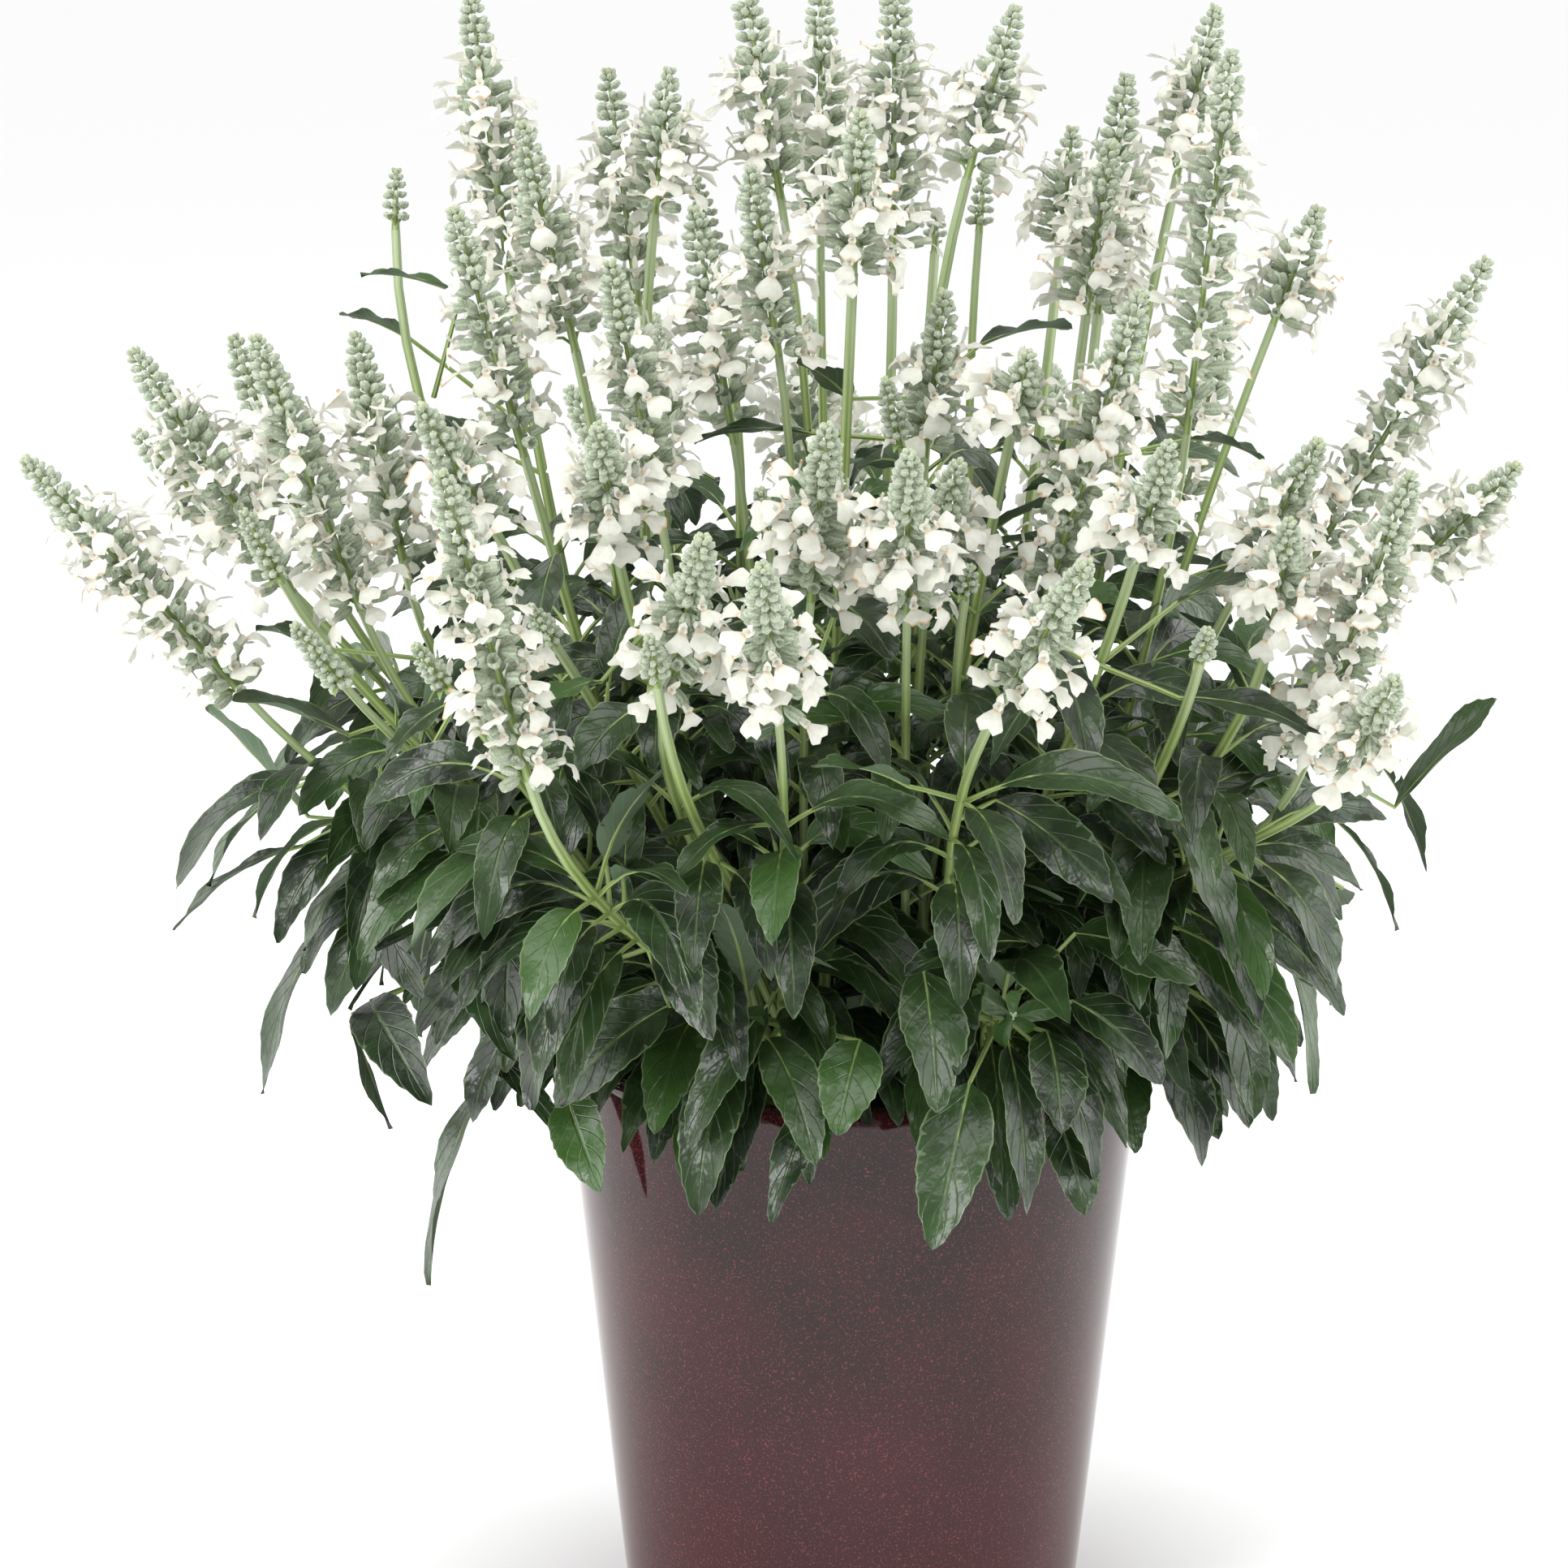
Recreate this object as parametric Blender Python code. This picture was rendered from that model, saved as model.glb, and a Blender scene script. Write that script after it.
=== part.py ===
"""A white perennial salvia growing in a tapered glazed pot.

The pot stands on z = 0 with its axis on Z, and the plant's front faces -Y. The flower heads and
the outer leaves are placed on a front elevation: millimetres right of the pot's axis, millimetres
above its rim, and millimetres behind the axis. seen() turns such a place into a point in space.
"""

import math
import random
from dataclasses import dataclass, field

import bmesh
import bpy
import numpy as np
from mathutils.bvhtree import BVHTree
from mathutils.kdtree import KDTree

MM = 0.001

# Pot, in millimetres
POT_HEIGHT = 250.0
POT_TOP_RADIUS = 125.0
POT_BASE_RADIUS = 98.0
POT_WALL = 10.0
POT_FLOOR = 12.0
POT_FOOT = 4.0
POT_LIP = 8.0
POT_COVE = 3.0
POT_SIDES = 32

# Soil and the crowns that stand in it
SOIL_BELOW_RIM = 20.0
SOIL_TOP = POT_HEIGHT - SOIL_BELOW_RIM
GAP = 0.3
CROWN_SIDES = 8
CROWN_SUNK = 22.0
CROWN_PROFILE = ((8.0, -22.0), (9.5, 3.0), (8.5, 11.0), (4.5, 13.0))
CROWN_HOLE_RADIUS = 10.0
CROWN_CLEAR = 13.5
SHOULDER_BAND = 1
CAP_BAND = 2
SHOULDER_SOCKETS = 8
CAP_SOCKETS = 4
INNER_CROWNS = 3
INNER_CROWN_REACH = 32.0
INNER_CROWN_TURN = 90.0
OUTER_CROWNS = 9
OUTER_CROWN_REACH = 76.0
OUTER_CROWN_TURN = 10.0
SOIL_EDGE = 4.0

# Front elevation: the eye that it is drawn from, and the point that the eye looks at
EYE_DISTANCE = 2400.0
EYE_PITCH = math.radians(11.4)
AIM_ACROSS = -29.6
AIM_UP = 108.8
AIM = np.array([AIM_ACROSS, 0.0, 362.0])

# Stems
STEM_RADIUS = 2.5
STEM_TIP_RADIUS = 2.0
SHOOT_RADIUS = 2.2
STEM_OUT = 6.5
CROWN_AIM_REACH = 84.0
CROWN_AIM_SHARE = 0.36
NEAREST_CROWNS = 5
NEAREST_SOCKETS = 5
HEAD_POINTS = 24
STEM_STATIONS = (0.0, 0.325, 0.675, 1.0)
SLOT_STEP = 0.05
SLOT_HALF = 1.3
STEM_CLEAR = 6.0
STEM_TO_HEAD = 17.0

# Flower heads
WHORL_STEP = 17.5
WHORL_REACH = 13.5
BUD_REACH = 8.5
RACHIS_RADIUS = 3.4
LOBES = 4
OPEN_SHARE = 0.6
THROAT = 1.6
COROLLA_LENGTH = 10.0
COROLLA_FLARE = 5.0
FLOWER_STEP = 30.0

# Leaves
LEAF_DEPTH = 2.0
STALK_HALF_WIDTH = 1.2
LEAF_STATIONS = (0.24, 0.52, 0.8)
LEAF_WIDTHS = (0.84, 1.0, 0.62)
INNER_STATIONS = (0.4, 0.78)
INNER_WIDTHS = (1.0, 0.66)
INNER_CLEAR = 1.6
LEAF_WAVE = 1.1
LEAF_CLEAR = 0.8
SKIRT_REACH = 206.0
RIM_CLEAR = 262.0
FIRST_SLOT = 4
LAST_SLOT = 17
FACE_SHARE = 0.45
NEAREST_ROOTS = 40
LEAF_SHIFT = 7.0
NEAR_STEM = 6.0
NEAR_ROOT = 1.5
INSIDE_REACH = 103.0
SHORTEST_STALK = 10.0
LONGEST_STALK = 95.0
STEM_POINTS = 60

# Flower heads on the elevation: tip across, up, behind; foot across, up, behind
HEADS = (
    ((-176, 241, -250), (-139, 111, -215)),
    ((-39, 201, -285), (-32, 137, -215)),
    ((-64, 213, -262), (-80, 147, -200)),
    ((-11, 261, -205), (-18, 188, -150)),
    ((24, 249, -225), (23, 180, -165)),
    ((45, 245, -160), (34, 200, -120)),
    ((100, 202, -265), (63, 142, -215)),
    ((-109, 261, -195), (-102, 214, -150)),
    ((-104, 331, -115), (-83, 226, -95)),
    ((-185, 269, -155), (-155, 220, -120)),
    ((-171, 354, -90), (-141, 250, -80)),
    ((135, 253, -205), (121, 205, -170)),
    ((162, 421, -65), (143, 259, -60)),
    ((123, 318, -140), (83, 189, -110)),
    ((39, 318, -75), (31, 250, -60)),
    ((75, 292, -140), (68, 260, -118)),
    ((3, 395, -112), (0, 328, -95)),
    ((-44, 371, -80), (-32, 293, -70)),
    ((-68, 354, -15), (-51, 255, -20)),
    ((-142, 390, -20), (-119, 295, -15)),
    ((-164, 446, 75), (-147, 325, 60)),
    ((-105, 413, 105), (-92, 314, 90)),
    ((-79, 413, 22), (-85, 354, 15)),
    ((-47, 453, 50), (-31, 360, 40)),
    ((-14, 449, 140), (-14, 354, 120)),
    ((18, 454, 70), (17, 330, 60)),
    ((69, 440, 20), (49, 369, 10)),
    ((94, 388, 120), (89, 340, 110)),
    ((117, 411, 40), (105, 311, 30)),
    ((110, 382, -30), (100, 311, -25)),
    ((155, 440, 60), (139, 370, 50)),
    ((199, 354, 20), (180, 306, 10)),
    ((271, 332, -15), (197, 205, -20)),
    ((199, 254, -120), (170, 201, -90)),
    ((187, 220, -180), (180, 177, -150)),
    ((239, 240, -170), (195, 120, -130)),
    ((232, 153, -225), (210, 111, -175)),
    ((284, 244, -75), (242, 203, -60)),
    ((-354, 247, -80), (-261, 147, -60)),
    ((-308, 293, -5), (-240, 191, -10)),
    ((-306, 258, 45), (-261, 212, 40)),
    ((-265, 299, 65), (-237, 222, 55)),
    ((-256, 299, -95), (-211, 184, -75)),
    ((-213, 300, 5), (-193, 205, -30)),
)

# Young heads, still in bud, that stay fused to their stems
BUDS = (
    ((-261, 225, -125), (-245, 196, -105)),
    ((-239, 176, -165), (-218, 151, -140)),
    ((-196, 371, 65), (-196, 346, 60)),
    ((-138, 184, -165), (-128, 169, -150)),
    ((-187, 167, -195), (-173, 149, -180)),
    ((-87, 171, -262), (-84, 151, -245)),
    ((-40, 234, -120), (-37, 217, -110)),
    ((14, 281, -115), (21, 252, -100)),
    ((36, 354, 135), (35, 337, 130)),
    ((56, 369, 75), (54, 346, 70)),
    ((50, 201, -160), (48, 189, -150)),
    ((152, 174, -205), (149, 162, -190)),
    ((-67, 367, 65), (-59, 330, 60)),
)

# Heads of the front that the rear repeats, turned half round, and the turn in degrees
REAR_HEADS = ((0, 176), (1, 188), (2, 172), (4, 180), (6, 190), (11, 172))

# Outer leaves on the elevation: blade's foot across and up, its tip across and up, its width
SKIRT_LEAVES = (
    (-155, -16, -182, -106, 26),
    (-165, -4, -126, -48, 12),
    (-215, 10, -198, -39, 14),
    (-225, 47, -253, -24, 18),
    (-235, 83, -291, 46, 12),
    (-222, 120, -251, 62, 18),
    (-243, 102, -269, 65, 18),
    (-233, 95, -277, 142, 24),
    (-207, 16, -181, -29, 24),
    (-212, 59, -191, 17, 22),
    (-175, 52, -153, -10, 22),
    (-143, 52, -148, 0, 22),
    (-122, 27, -138, -31, 24),
    (-79, 14, -128, -30, 32),
    (-122, -26, -108, -66, 22),
    (-110, 57, -92, 17, 28),
    (-78, 50, -60, -1, 25),
    (-37, 14, -71, -46, 20),
    (-14, -23, -35, -79, 16),
    (3, -1, -7, -42, 24),
    (30, 29, 36, -32, 28),
    (50, -19, 34, -91, 28),
    (74, 41, 22, 27, 22),
    (83, 3, 89, -41, 24),
    (86, -32, 99, -76, 22),
    (95, 45, 148, 24, 26),
    (94, 16, 132, -20, 28),
    (149, 27, 165, -34, 22),
    (132, 102, 164, 29, 26),
    (177, 55, 197, -24, 20),
    (191, 67, 205, 14, 16),
    (212, 110, 203, 57, 20),
    (207, 94, 233, 46, 12),
    (61, 102, 111, 58, 24),
    (87, 167, 102, 107, 20),
    (24, 108, -18, 116, 17),
    (-92, 142, -118, 114, 20),
    (-70, 110, -40, 74, 24),
    (-105, 81, -68, 61, 20),
    (-192, 77, -216, 52, 20),
    (-209, 97, -235, 82, 16),
    (-170, 97, -186, 64, 20),
)

# Leaves higher in the plant: blade's foot across, up, behind; its tip likewise; its width
UPPER_LEAVES = (
    ((-216, 130, -70), (-266, 145, -85), 26),
    ((-226, 167, -20), (-256, 175, -25), 20),
    ((-122, 208, -110), (-129, 170, -130), 26),
    ((-169, 145, -150), (-199, 120, -175), 14),
    ((-108, 153, -150), (-134, 140, -175), 16),
    ((-6, 187, -120), (17, 162, -160), 24),
    ((50, 196, -140), (76, 175, -175), 26),
    ((139, 187, -110), (174, 198, -125), 22),
    ((144, 257, -20), (176, 247, -25), 22),
    ((107, 177, -150), (134, 158, -180), 18),
    ((140, 146, -160), (200, 128, -185), 16),
    ((54, 297, 60), (94, 304, 70), 24),
    ((-1, 274, -30), (-24, 290, -45), 16),
    ((-14, 260, -20), (-64, 256, -35), 14),
    ((-168, 319, 30), (-211, 327, 35), 14),
    ((-190, 300, 62), (-220, 310, 50), 16),
    ((-186, 302, 58), (-166, 322, 70), 16),
    ((-150, 250, 60), (-190, 262, 90), 18),
    ((-60, 240, 100), (-80, 215, 150), 22),
    ((40, 250, 110), (62, 225, 160), 22),
    ((120, 250, 90), (160, 240, 130), 22),
)

# Slots of the pairs of leaves on the stems in turn, and the short leafy shoots round the rim
STEM_SLOTS = (10, None, None, 12, None)
SHOOT_SLOT = 17
SHOOTS = 9
SHOOT_REACH = 168.0
SHOOT_TOP = 298.0

# Inner leaves, which fill up the whorls that already hold a leaf, and how high these may stand
INNER_LEAVES = 60
INNER_TOP = 440.0

COLOURS = {
    "pot": ((0.055, 0.014, 0.018), 0.1),
    "soil": ((0.035, 0.022, 0.015), 0.95),
    "head": ((0.56, 0.62, 0.52), 0.8),
    "leafy_stems": ((0.045, 0.085, 0.03), 0.45),
}


@dataclass
class Stem:
    """A stem's axis as the four control points of a cubic curve, and where on its crown it starts.

    Its places are the axis at each slot, and its leaves are kept by slot and face.
    """

    name: str
    crown: int
    socket: int
    controls: np.ndarray
    radius: float
    places: list = field(default_factory=list)
    leaves: dict = field(default_factory=dict)


@dataclass
class Leaf:
    """A leaf's midline: stalk's root, blade's foot, the arch's control point and the tip.

    The stalk grows from one of the stem's four faces, at a slot along its length.
    """

    name: str
    stem: Stem
    slot: int
    face: int
    root: np.ndarray
    foot: np.ndarray
    arch: np.ndarray
    tip: np.ndarray
    width: float
    roll: float
    inner: bool = False


def unit(vector):
    return vector / np.linalg.norm(vector)


def seen(across, up, behind):
    """The point on the eye's line of sight through a place on the elevation, at y = behind."""
    forward = np.array([0.0, math.cos(EYE_PITCH), -math.sin(EYE_PITCH)])
    upward = np.array([0.0, math.sin(EYE_PITCH), math.cos(EYE_PITCH)])
    eye = AIM - EYE_DISTANCE * forward
    ray = EYE_DISTANCE * forward + (up - AIM_UP) * upward
    ray[0] += across - AIM_ACROSS
    return eye + ray * (behind - eye[1]) / ray[1]


def turned(point, degrees):
    """The point turned round the pot's axis."""
    angle = math.radians(degrees)
    cos, sin = math.cos(angle), math.sin(angle)
    return np.array([cos * point[0] - sin * point[1], sin * point[0] + cos * point[1], point[2]])


def polar(reach, degrees, height):
    return turned(np.array([reach, 0.0, height]), degrees)


def bezier(controls, shares):
    """Points of the cubic curve at the given shares of its parameter."""
    t = np.asarray(shares)[:, None]
    a, b, c, d = controls
    return (1 - t) ** 3 * a + 3 * (1 - t) ** 2 * t * b + 3 * (1 - t) * t**2 * c + t**3 * d


def bezier_tangents(controls, shares):
    t = np.asarray(shares)[:, None]
    a, b, c, d = controls
    slope = 3 * (1 - t) ** 2 * (b - a) + 6 * (1 - t) * t * (c - b) + 3 * t**2 * (d - c)
    return slope / np.linalg.norm(slope, axis=1)[:, None]


def axis_points(controls):
    """Points close together along the stem's straight pieces."""
    corners = bezier(controls, STEM_STATIONS)
    shares = np.linspace(0, 1, STEM_POINTS)
    return np.stack([np.interp(shares, STEM_STATIONS, column) for column in corners.T], 1)


def tree_of_points(points):
    tree = KDTree(len(points))
    for i, point in enumerate(points):
        tree.insert(point, i)
    tree.balance()
    return tree


def nearest_gap(points, tree):
    """The least distance from a row of points to those in the tree."""
    gaps = [tree.find(point)[2] for point in points]
    return math.inf if None in gaps else min(gaps)


def crown_places():
    """The middle of each crown at the soil's surface: a small ring inside a larger one."""
    inner = [polar(INNER_CROWN_REACH, INNER_CROWN_TURN + 360 / INNER_CROWNS * i, SOIL_TOP)
             for i in range(INNER_CROWNS)]
    outer = [polar(OUTER_CROWN_REACH, OUTER_CROWN_TURN + 360 / OUTER_CROWNS * i, SOIL_TOP)
             for i in range(OUTER_CROWNS)]
    return np.array(inner + outer)


def socket_face(socket):
    """The side and the band of the crown's face that a stem grows from."""
    if socket < SHOULDER_SOCKETS:
        return socket, SHOULDER_BAND
    return (socket - SHOULDER_SOCKETS) * CROWN_SIDES // CAP_SOCKETS, CAP_BAND


def socket_place(crown, socket):
    """Where a stem starts, just off one of the crown's faces."""
    side, band = socket_face(socket)
    lower, upper = CROWN_PROFILE[band], CROWN_PROFILE[band + 1]
    degrees = 360 / CROWN_SIDES * (side + 0.5)
    out = polar(1.0, degrees, 0.0)
    reach = 0.5 * (lower[0] + upper[0]) * math.cos(math.pi / CROWN_SIDES)
    face = crown + reach * out + [0, 0, 0.5 * (lower[1] + upper[1])]
    return face + STEM_OUT * unit((out if band == SHOULDER_BAND else 0.2 * out) + [0, 0, 1.0])


def stem_choices(start, foot, direction):
    """Likely axes of one stem, from the plainest on: each leaves the crown a little differently."""
    reach = foot - start
    length = np.linalg.norm(reach)
    side = unit(np.cross(reach, [0.0, 0.0, 1.0]) + 1e-6)
    for hold in (0.33, 0.2, 0.45):
        for sway in (0.0, 0.15, -0.15, 0.35, -0.35):
            for lift in (0.45, 0.9, 0.2):
                leave = unit(unit(reach) + [0, 0, lift] + sway * side)
                yield np.array([
                    start, start + 0.33 * length * leave, foot - hold * length * direction, foot,
                ])


def spare_room(points, crown, crowns, stems_tree, heads_tree):
    """How far the axis stays outside the room that its neighbours need, at its tightest point."""
    gaps = [nearest_gap(points, stems_tree) - STEM_CLEAR,
            nearest_gap(points, heads_tree) - STEM_TO_HEAD]
    spread = np.linalg.norm(points[:, :2], axis=1)
    inside = points[:, 2] < RIM_CLEAR
    if inside.any():
        gaps.append(INSIDE_REACH - spread[inside].max())
    over = np.abs(spread - POT_TOP_RADIUS) < 1.5 * POT_WALL  # where it passes over the rim
    if over.any():
        gaps.append(points[over, 2].min() - POT_HEIGHT - STEM_CLEAR)
    low = points[points[:, 2] < SOIL_TOP + CROWN_PROFILE[-1][1] + STEM_RADIUS, :2]
    for i, place in enumerate(crowns):
        if i != crown and len(low):
            gaps.append(np.linalg.norm(low - place[:2], axis=1).min() - CROWN_CLEAR)
    return min(gaps)


def plan_stem(name, stems, heads, crowns, foot, direction, radius, own_head):
    """The first choice of axis that stays clear of every other stem, crown and head."""
    spread = np.linalg.norm(foot[:2])
    aim = foot[:2] * (CROWN_AIM_SHARE if spread < CROWN_AIM_REACH else CROWN_AIM_REACH / spread)
    order = np.argsort(np.linalg.norm(crowns[:, :2] - aim, axis=1))
    stems_tree = tree_of_points([p for s in stems for p in axis_points(s.controls)])
    heads_tree = tree_of_points([p for i, h in enumerate(heads) if i != own_head for p in h])
    taken = {(s.crown, s.socket) for s in stems}
    best = (-math.inf,)
    for crown in order[:NEAREST_CROWNS]:
        starts = [(np.linalg.norm((foot - socket_place(crowns[crown], k))[:2]), k)
                  for k in range(SHOULDER_SOCKETS + CAP_SOCKETS) if (crown, k) not in taken]
        for _, socket in sorted(starts)[:NEAREST_SOCKETS]:
            for controls in stem_choices(socket_place(crowns[crown], socket), foot, direction):
                room = spare_room(axis_points(controls), crown, crowns, stems_tree, heads_tree)
                stem = Stem(name, int(crown), socket, controls, radius)
                if room >= 0 and not crosses_itself(foliage_solid(crowns[crown], [stem], {})):
                    return stem
                if room > best[0]:
                    best = (room, stem)
    print(f"{name} comes {-best[0]:.1f} mm too near something")
    return best[1]


def plan_heads():
    """The flower heads' axes as (name, foot, tip), with the young and the rear ones last."""
    heads = []
    for i, (tip, foot) in enumerate(HEADS):
        heads.append((f"head_{i + 1:02d}", seen(*foot), seen(*tip)))
    for i, (tip, foot) in enumerate(BUDS):
        heads.append((f"bud_{i + 1:02d}", seen(*foot), seen(*tip)))
    for i, turn in REAR_HEADS:
        _, foot, tip = heads[i]
        heads.append((f"rear_{i + 1:02d}", turned(foot, turn), turned(tip, turn)))
    return heads


def plan_stems(heads, crowns):
    """A stem under each head, clear of the others, and then the leafy shoots round the rim."""
    shares = np.linspace(0, 1, HEAD_POINTS)[:, None]
    axes = [foot + (tip - foot) * shares for _, foot, tip in heads]
    stems = []
    for i, (name, foot, tip) in enumerate(heads):
        direction = unit(tip - foot)
        end = foot - GAP * direction if name.startswith("head") else foot
        stems.append(plan_stem(name, stems, axes, crowns, end, direction, STEM_RADIUS, i))
    for i in range(SHOOTS):
        degrees = 360.0 / SHOOTS * (i + 0.3)
        end = polar(SHOOT_REACH, degrees, SHOOT_TOP)
        direction = unit(polar(1.0, degrees, 0.15))
        stems.append(plan_stem(f"shoot_{i + 1:02d}", stems, axes, crowns, end, direction,
                               SHOOT_RADIUS, None))
    for stem in stems:
        stem.places = [stem_place(stem, slot * SLOT_STEP) for slot in range(LAST_SLOT + 1)]
    return stems


def frame_round(tangent, reference):
    """Two directions square to the tangent, the first as near the reference as can be."""
    side = unit(reference - tangent * tangent.dot(reference))
    return side, np.cross(tangent, side)


def stem_place(stem, share):
    """The stem's axis point, tangent, side directions and radius at a share of its length."""
    points = bezier(stem.controls, STEM_STATIONS)
    point = np.array([np.interp(share, STEM_STATIONS, column) for column in points.T])
    tangent = bezier_tangents(stem.controls, [share])[0]
    level = np.cross(stem.controls[3] - stem.controls[0], [0.0, 0.0, 1.0]) + [1e-6, 0, 0]
    side, rise = frame_round(tangent, unit(level))
    return point, tangent, side, rise, stem.radius + share * (STEM_TIP_RADIUS - stem.radius)


def stem_solid(stem, head=None):
    """A closed square tube along the stem's axis, whose leaves and head grow out of its faces.

    A slot with leaves has a short band of its own, and each leaf takes the place of one of the
    band's four faces. A young head takes the place of the tube's end.
    """
    half = min(SLOT_HALF / np.linalg.norm(stem.controls[3] - stem.controls[0]), 0.4 * SLOT_STEP)
    bands = {slot * SLOT_STEP - half: slot for slot, _ in stem.leaves}
    shares = sorted(set(STEM_STATIONS) | set(bands) | {share + 2 * half for share in bands})
    rings = []
    for share in shares:
        point, _, side, rise, radius = stem_place(stem, share)
        angles = [-math.pi / 4 + math.pi / 2 * i for i in range(4)]
        rings.append([point + radius * (math.cos(a) * side + math.sin(a) * rise) for a in angles])
    verts, faces = loft(rings)
    verts = list(verts)
    if head is not None:
        faces = faces[:-2] + grown_head(verts, head)
    for k, share in enumerate(shares):
        for face in range(4):
            leaf = stem.leaves.get((bands.get(share), face))
            if leaf:
                quad = side_quad(4, k, face)
                faces = without_quad(faces, quad) + grown_leaf(verts, quad, leaf)
    return np.array(verts), faces


def side_quad(count, band, side):
    """The corners of one face of a loft, from its lower left round as seen from outside."""
    left, right = band * count + side, band * count + (side + 1) % count
    return [left, right, right + count, left + count]


def without_quad(faces, quad):
    """The faces without the two triangles of a loft's side face."""
    a, b, c, d = quad
    return [f for f in faces if f not in ([a, b, c], [a, c, d])]


def least_twist(verts, loop, ring):
    """The ring turned so that its corners come nearest to the loop's."""

    def stretch(turn):
        turned_ring = ring[turn:] + ring[:turn]
        return sum(np.linalg.norm(verts[a] - verts[b]) for a, b in zip(loop, turned_ring))

    turn = min(range(len(ring)), key=stretch)
    return ring[turn:] + ring[:turn]


def grown_head(verts, head):
    """The head's faces, with the stem's last ring in the place of the head's first."""
    points, faces = head
    last = list(range(len(verts) - 4, len(verts)))
    base = list(range(len(verts), len(verts) + 4))
    index = least_twist(verts + list(points[:4]), base, last)
    index += range(len(verts), len(verts) + len(points) - 4)
    verts += list(points[4:])
    return [[index[i] for i in f] for f in faces[2:]]


def grown_leaf(verts, quad, leaf):
    """The leaf's faces, with the stalk as a sleeve from the stem's open face to the blade."""
    blade, faces = leaf_solid(leaf)
    blade, faces = blade[3:], [[i - 3 for i in f] for f in faces if min(f) > 2]
    ring = blade[:3] - blade[:3].mean(0)
    corners = np.array([verts[i] for i in quad])

    def fit(turn):
        low_left, low_right, high_right, high_left = np.roll(corners, -turn, axis=0)
        right = low_right + high_right - low_left - high_left
        upward = high_right + high_left - low_left - low_right
        return ring[0].dot(right) - ring[1].dot(right) - ring[2].dot(upward)

    turn = max(range(4), key=fit)
    a, b, c, d = quad[turn:] + quad[:turn]
    right, left, keel = len(verts), len(verts) + 1, len(verts) + 2
    faces = [[i + len(verts) for i in f] for f in faces]
    verts += list(blade)
    return faces + [[a, b, keel], [b, right, keel], [b, c, right], [c, left, right], [c, d, left],
                    [d, a, left], [a, keel, left]]


def loft(rings, tip=None):
    """A closed solid through rings of equal count, ending in a cap or in one tip point."""
    count = len(rings[0])
    verts = [p for ring in rings for p in ring]
    faces = [[0, i + 1, i] for i in range(1, count - 1)]
    for k in range(len(rings) - 1):
        for i in range(count):
            a, b = k * count + i, k * count + (i + 1) % count
            faces += [[a, b, b + count], [a, b + count, a + count]]
    last = (len(rings) - 1) * count
    if tip is None:
        faces += [[last, last + i, last + i + 1] for i in range(1, count - 1)]
    else:
        faces += [[last + i, last + (i + 1) % count, len(verts)] for i in range(count)]
        verts.append(tip)
    return np.array(verts), faces


def head_solid(name, foot, tip, flowers=0):
    """A spike of whorls: each has lobes for its calyces, and the next is turned half a step.

    The given number of lobes, spread up the lower part, end in flared horns for open flowers.
    """
    rng = random.Random(name)
    axis = tip - foot
    length = np.linalg.norm(axis)
    axis = axis / length
    u, v = frame_round(axis, np.array([0.31, 0.95, 0.1]))
    bud = name.startswith("bud")
    whorls = max(2 if bud else 4, round(length / WHORL_STEP))
    reach = BUD_REACH if bud else WHORL_REACH
    step = length / (whorls + 0.35)
    open_whorls = max(1, round(OPEN_SHARE * whorls))
    open_lobes = {(i % open_whorls, (3 * i + i // open_whorls) % LOBES) for i in range(flowers)}

    def at(height, radius, degrees):
        angle = math.radians(degrees)
        return foot + axis * height + radius * (math.cos(angle) * u + math.sin(angle) * v)

    verts = [at(0.0, STEM_TIP_RADIUS, 90 * j) for j in range(LOBES)]
    faces = [[0, 2, 1], [0, 3, 2]]
    below = 0
    for k in range(whorls):
        share = (k + 0.5) * step / length
        lobe = reach * (1 - share**2.4) ** 0.75 * (1.08 if k % 2 else 0.95)
        phase = 45 * k
        last = k == whorls - 1
        ring = len(verts)
        for j in range(LOBES):
            out = lobe * rng.uniform(0.88, 1.1)
            lift = (k + 0.5 + 0.22 * rng.uniform(0.5, 1.2)) * step
            verts.append(at(lift, out, phase + 90 * j))
            verts.append(at((k + 0.5) * step, 0.45 * lobe + 1.0, phase + 90 * j + 45))
        above = len(verts)
        if last:
            verts.append(tip)
        else:
            pinch = RACHIS_RADIUS * (1 - 0.45 * share)
            verts += [at((k + 1) * step, pinch, phase + 90 * j + 45) for j in range(LOBES)]
        for j in range(LOBES):
            out, right, left = ring + 2 * j, ring + 2 * j + 1, ring + (2 * j - 1) % (2 * LOBES)
            foot_j, foot_next = below + j, below + (j + 1) % LOBES
            top, top_left = (above, above) if last else (above + j, above + (j - 1) % LOBES)
            faces.append([foot_j, foot_next, right])
            round_lobe = [left, foot_j, right, top] + ([] if last else [top_left])
            if (k, j) in open_lobes:
                faces += horn_faces(verts, round_lobe, out, axis)
            else:
                faces += [[out, a, b] for a, b in zip(round_lobe, round_lobe[1:] + [left])]
        below = above
    return np.array(verts), faces


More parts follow.
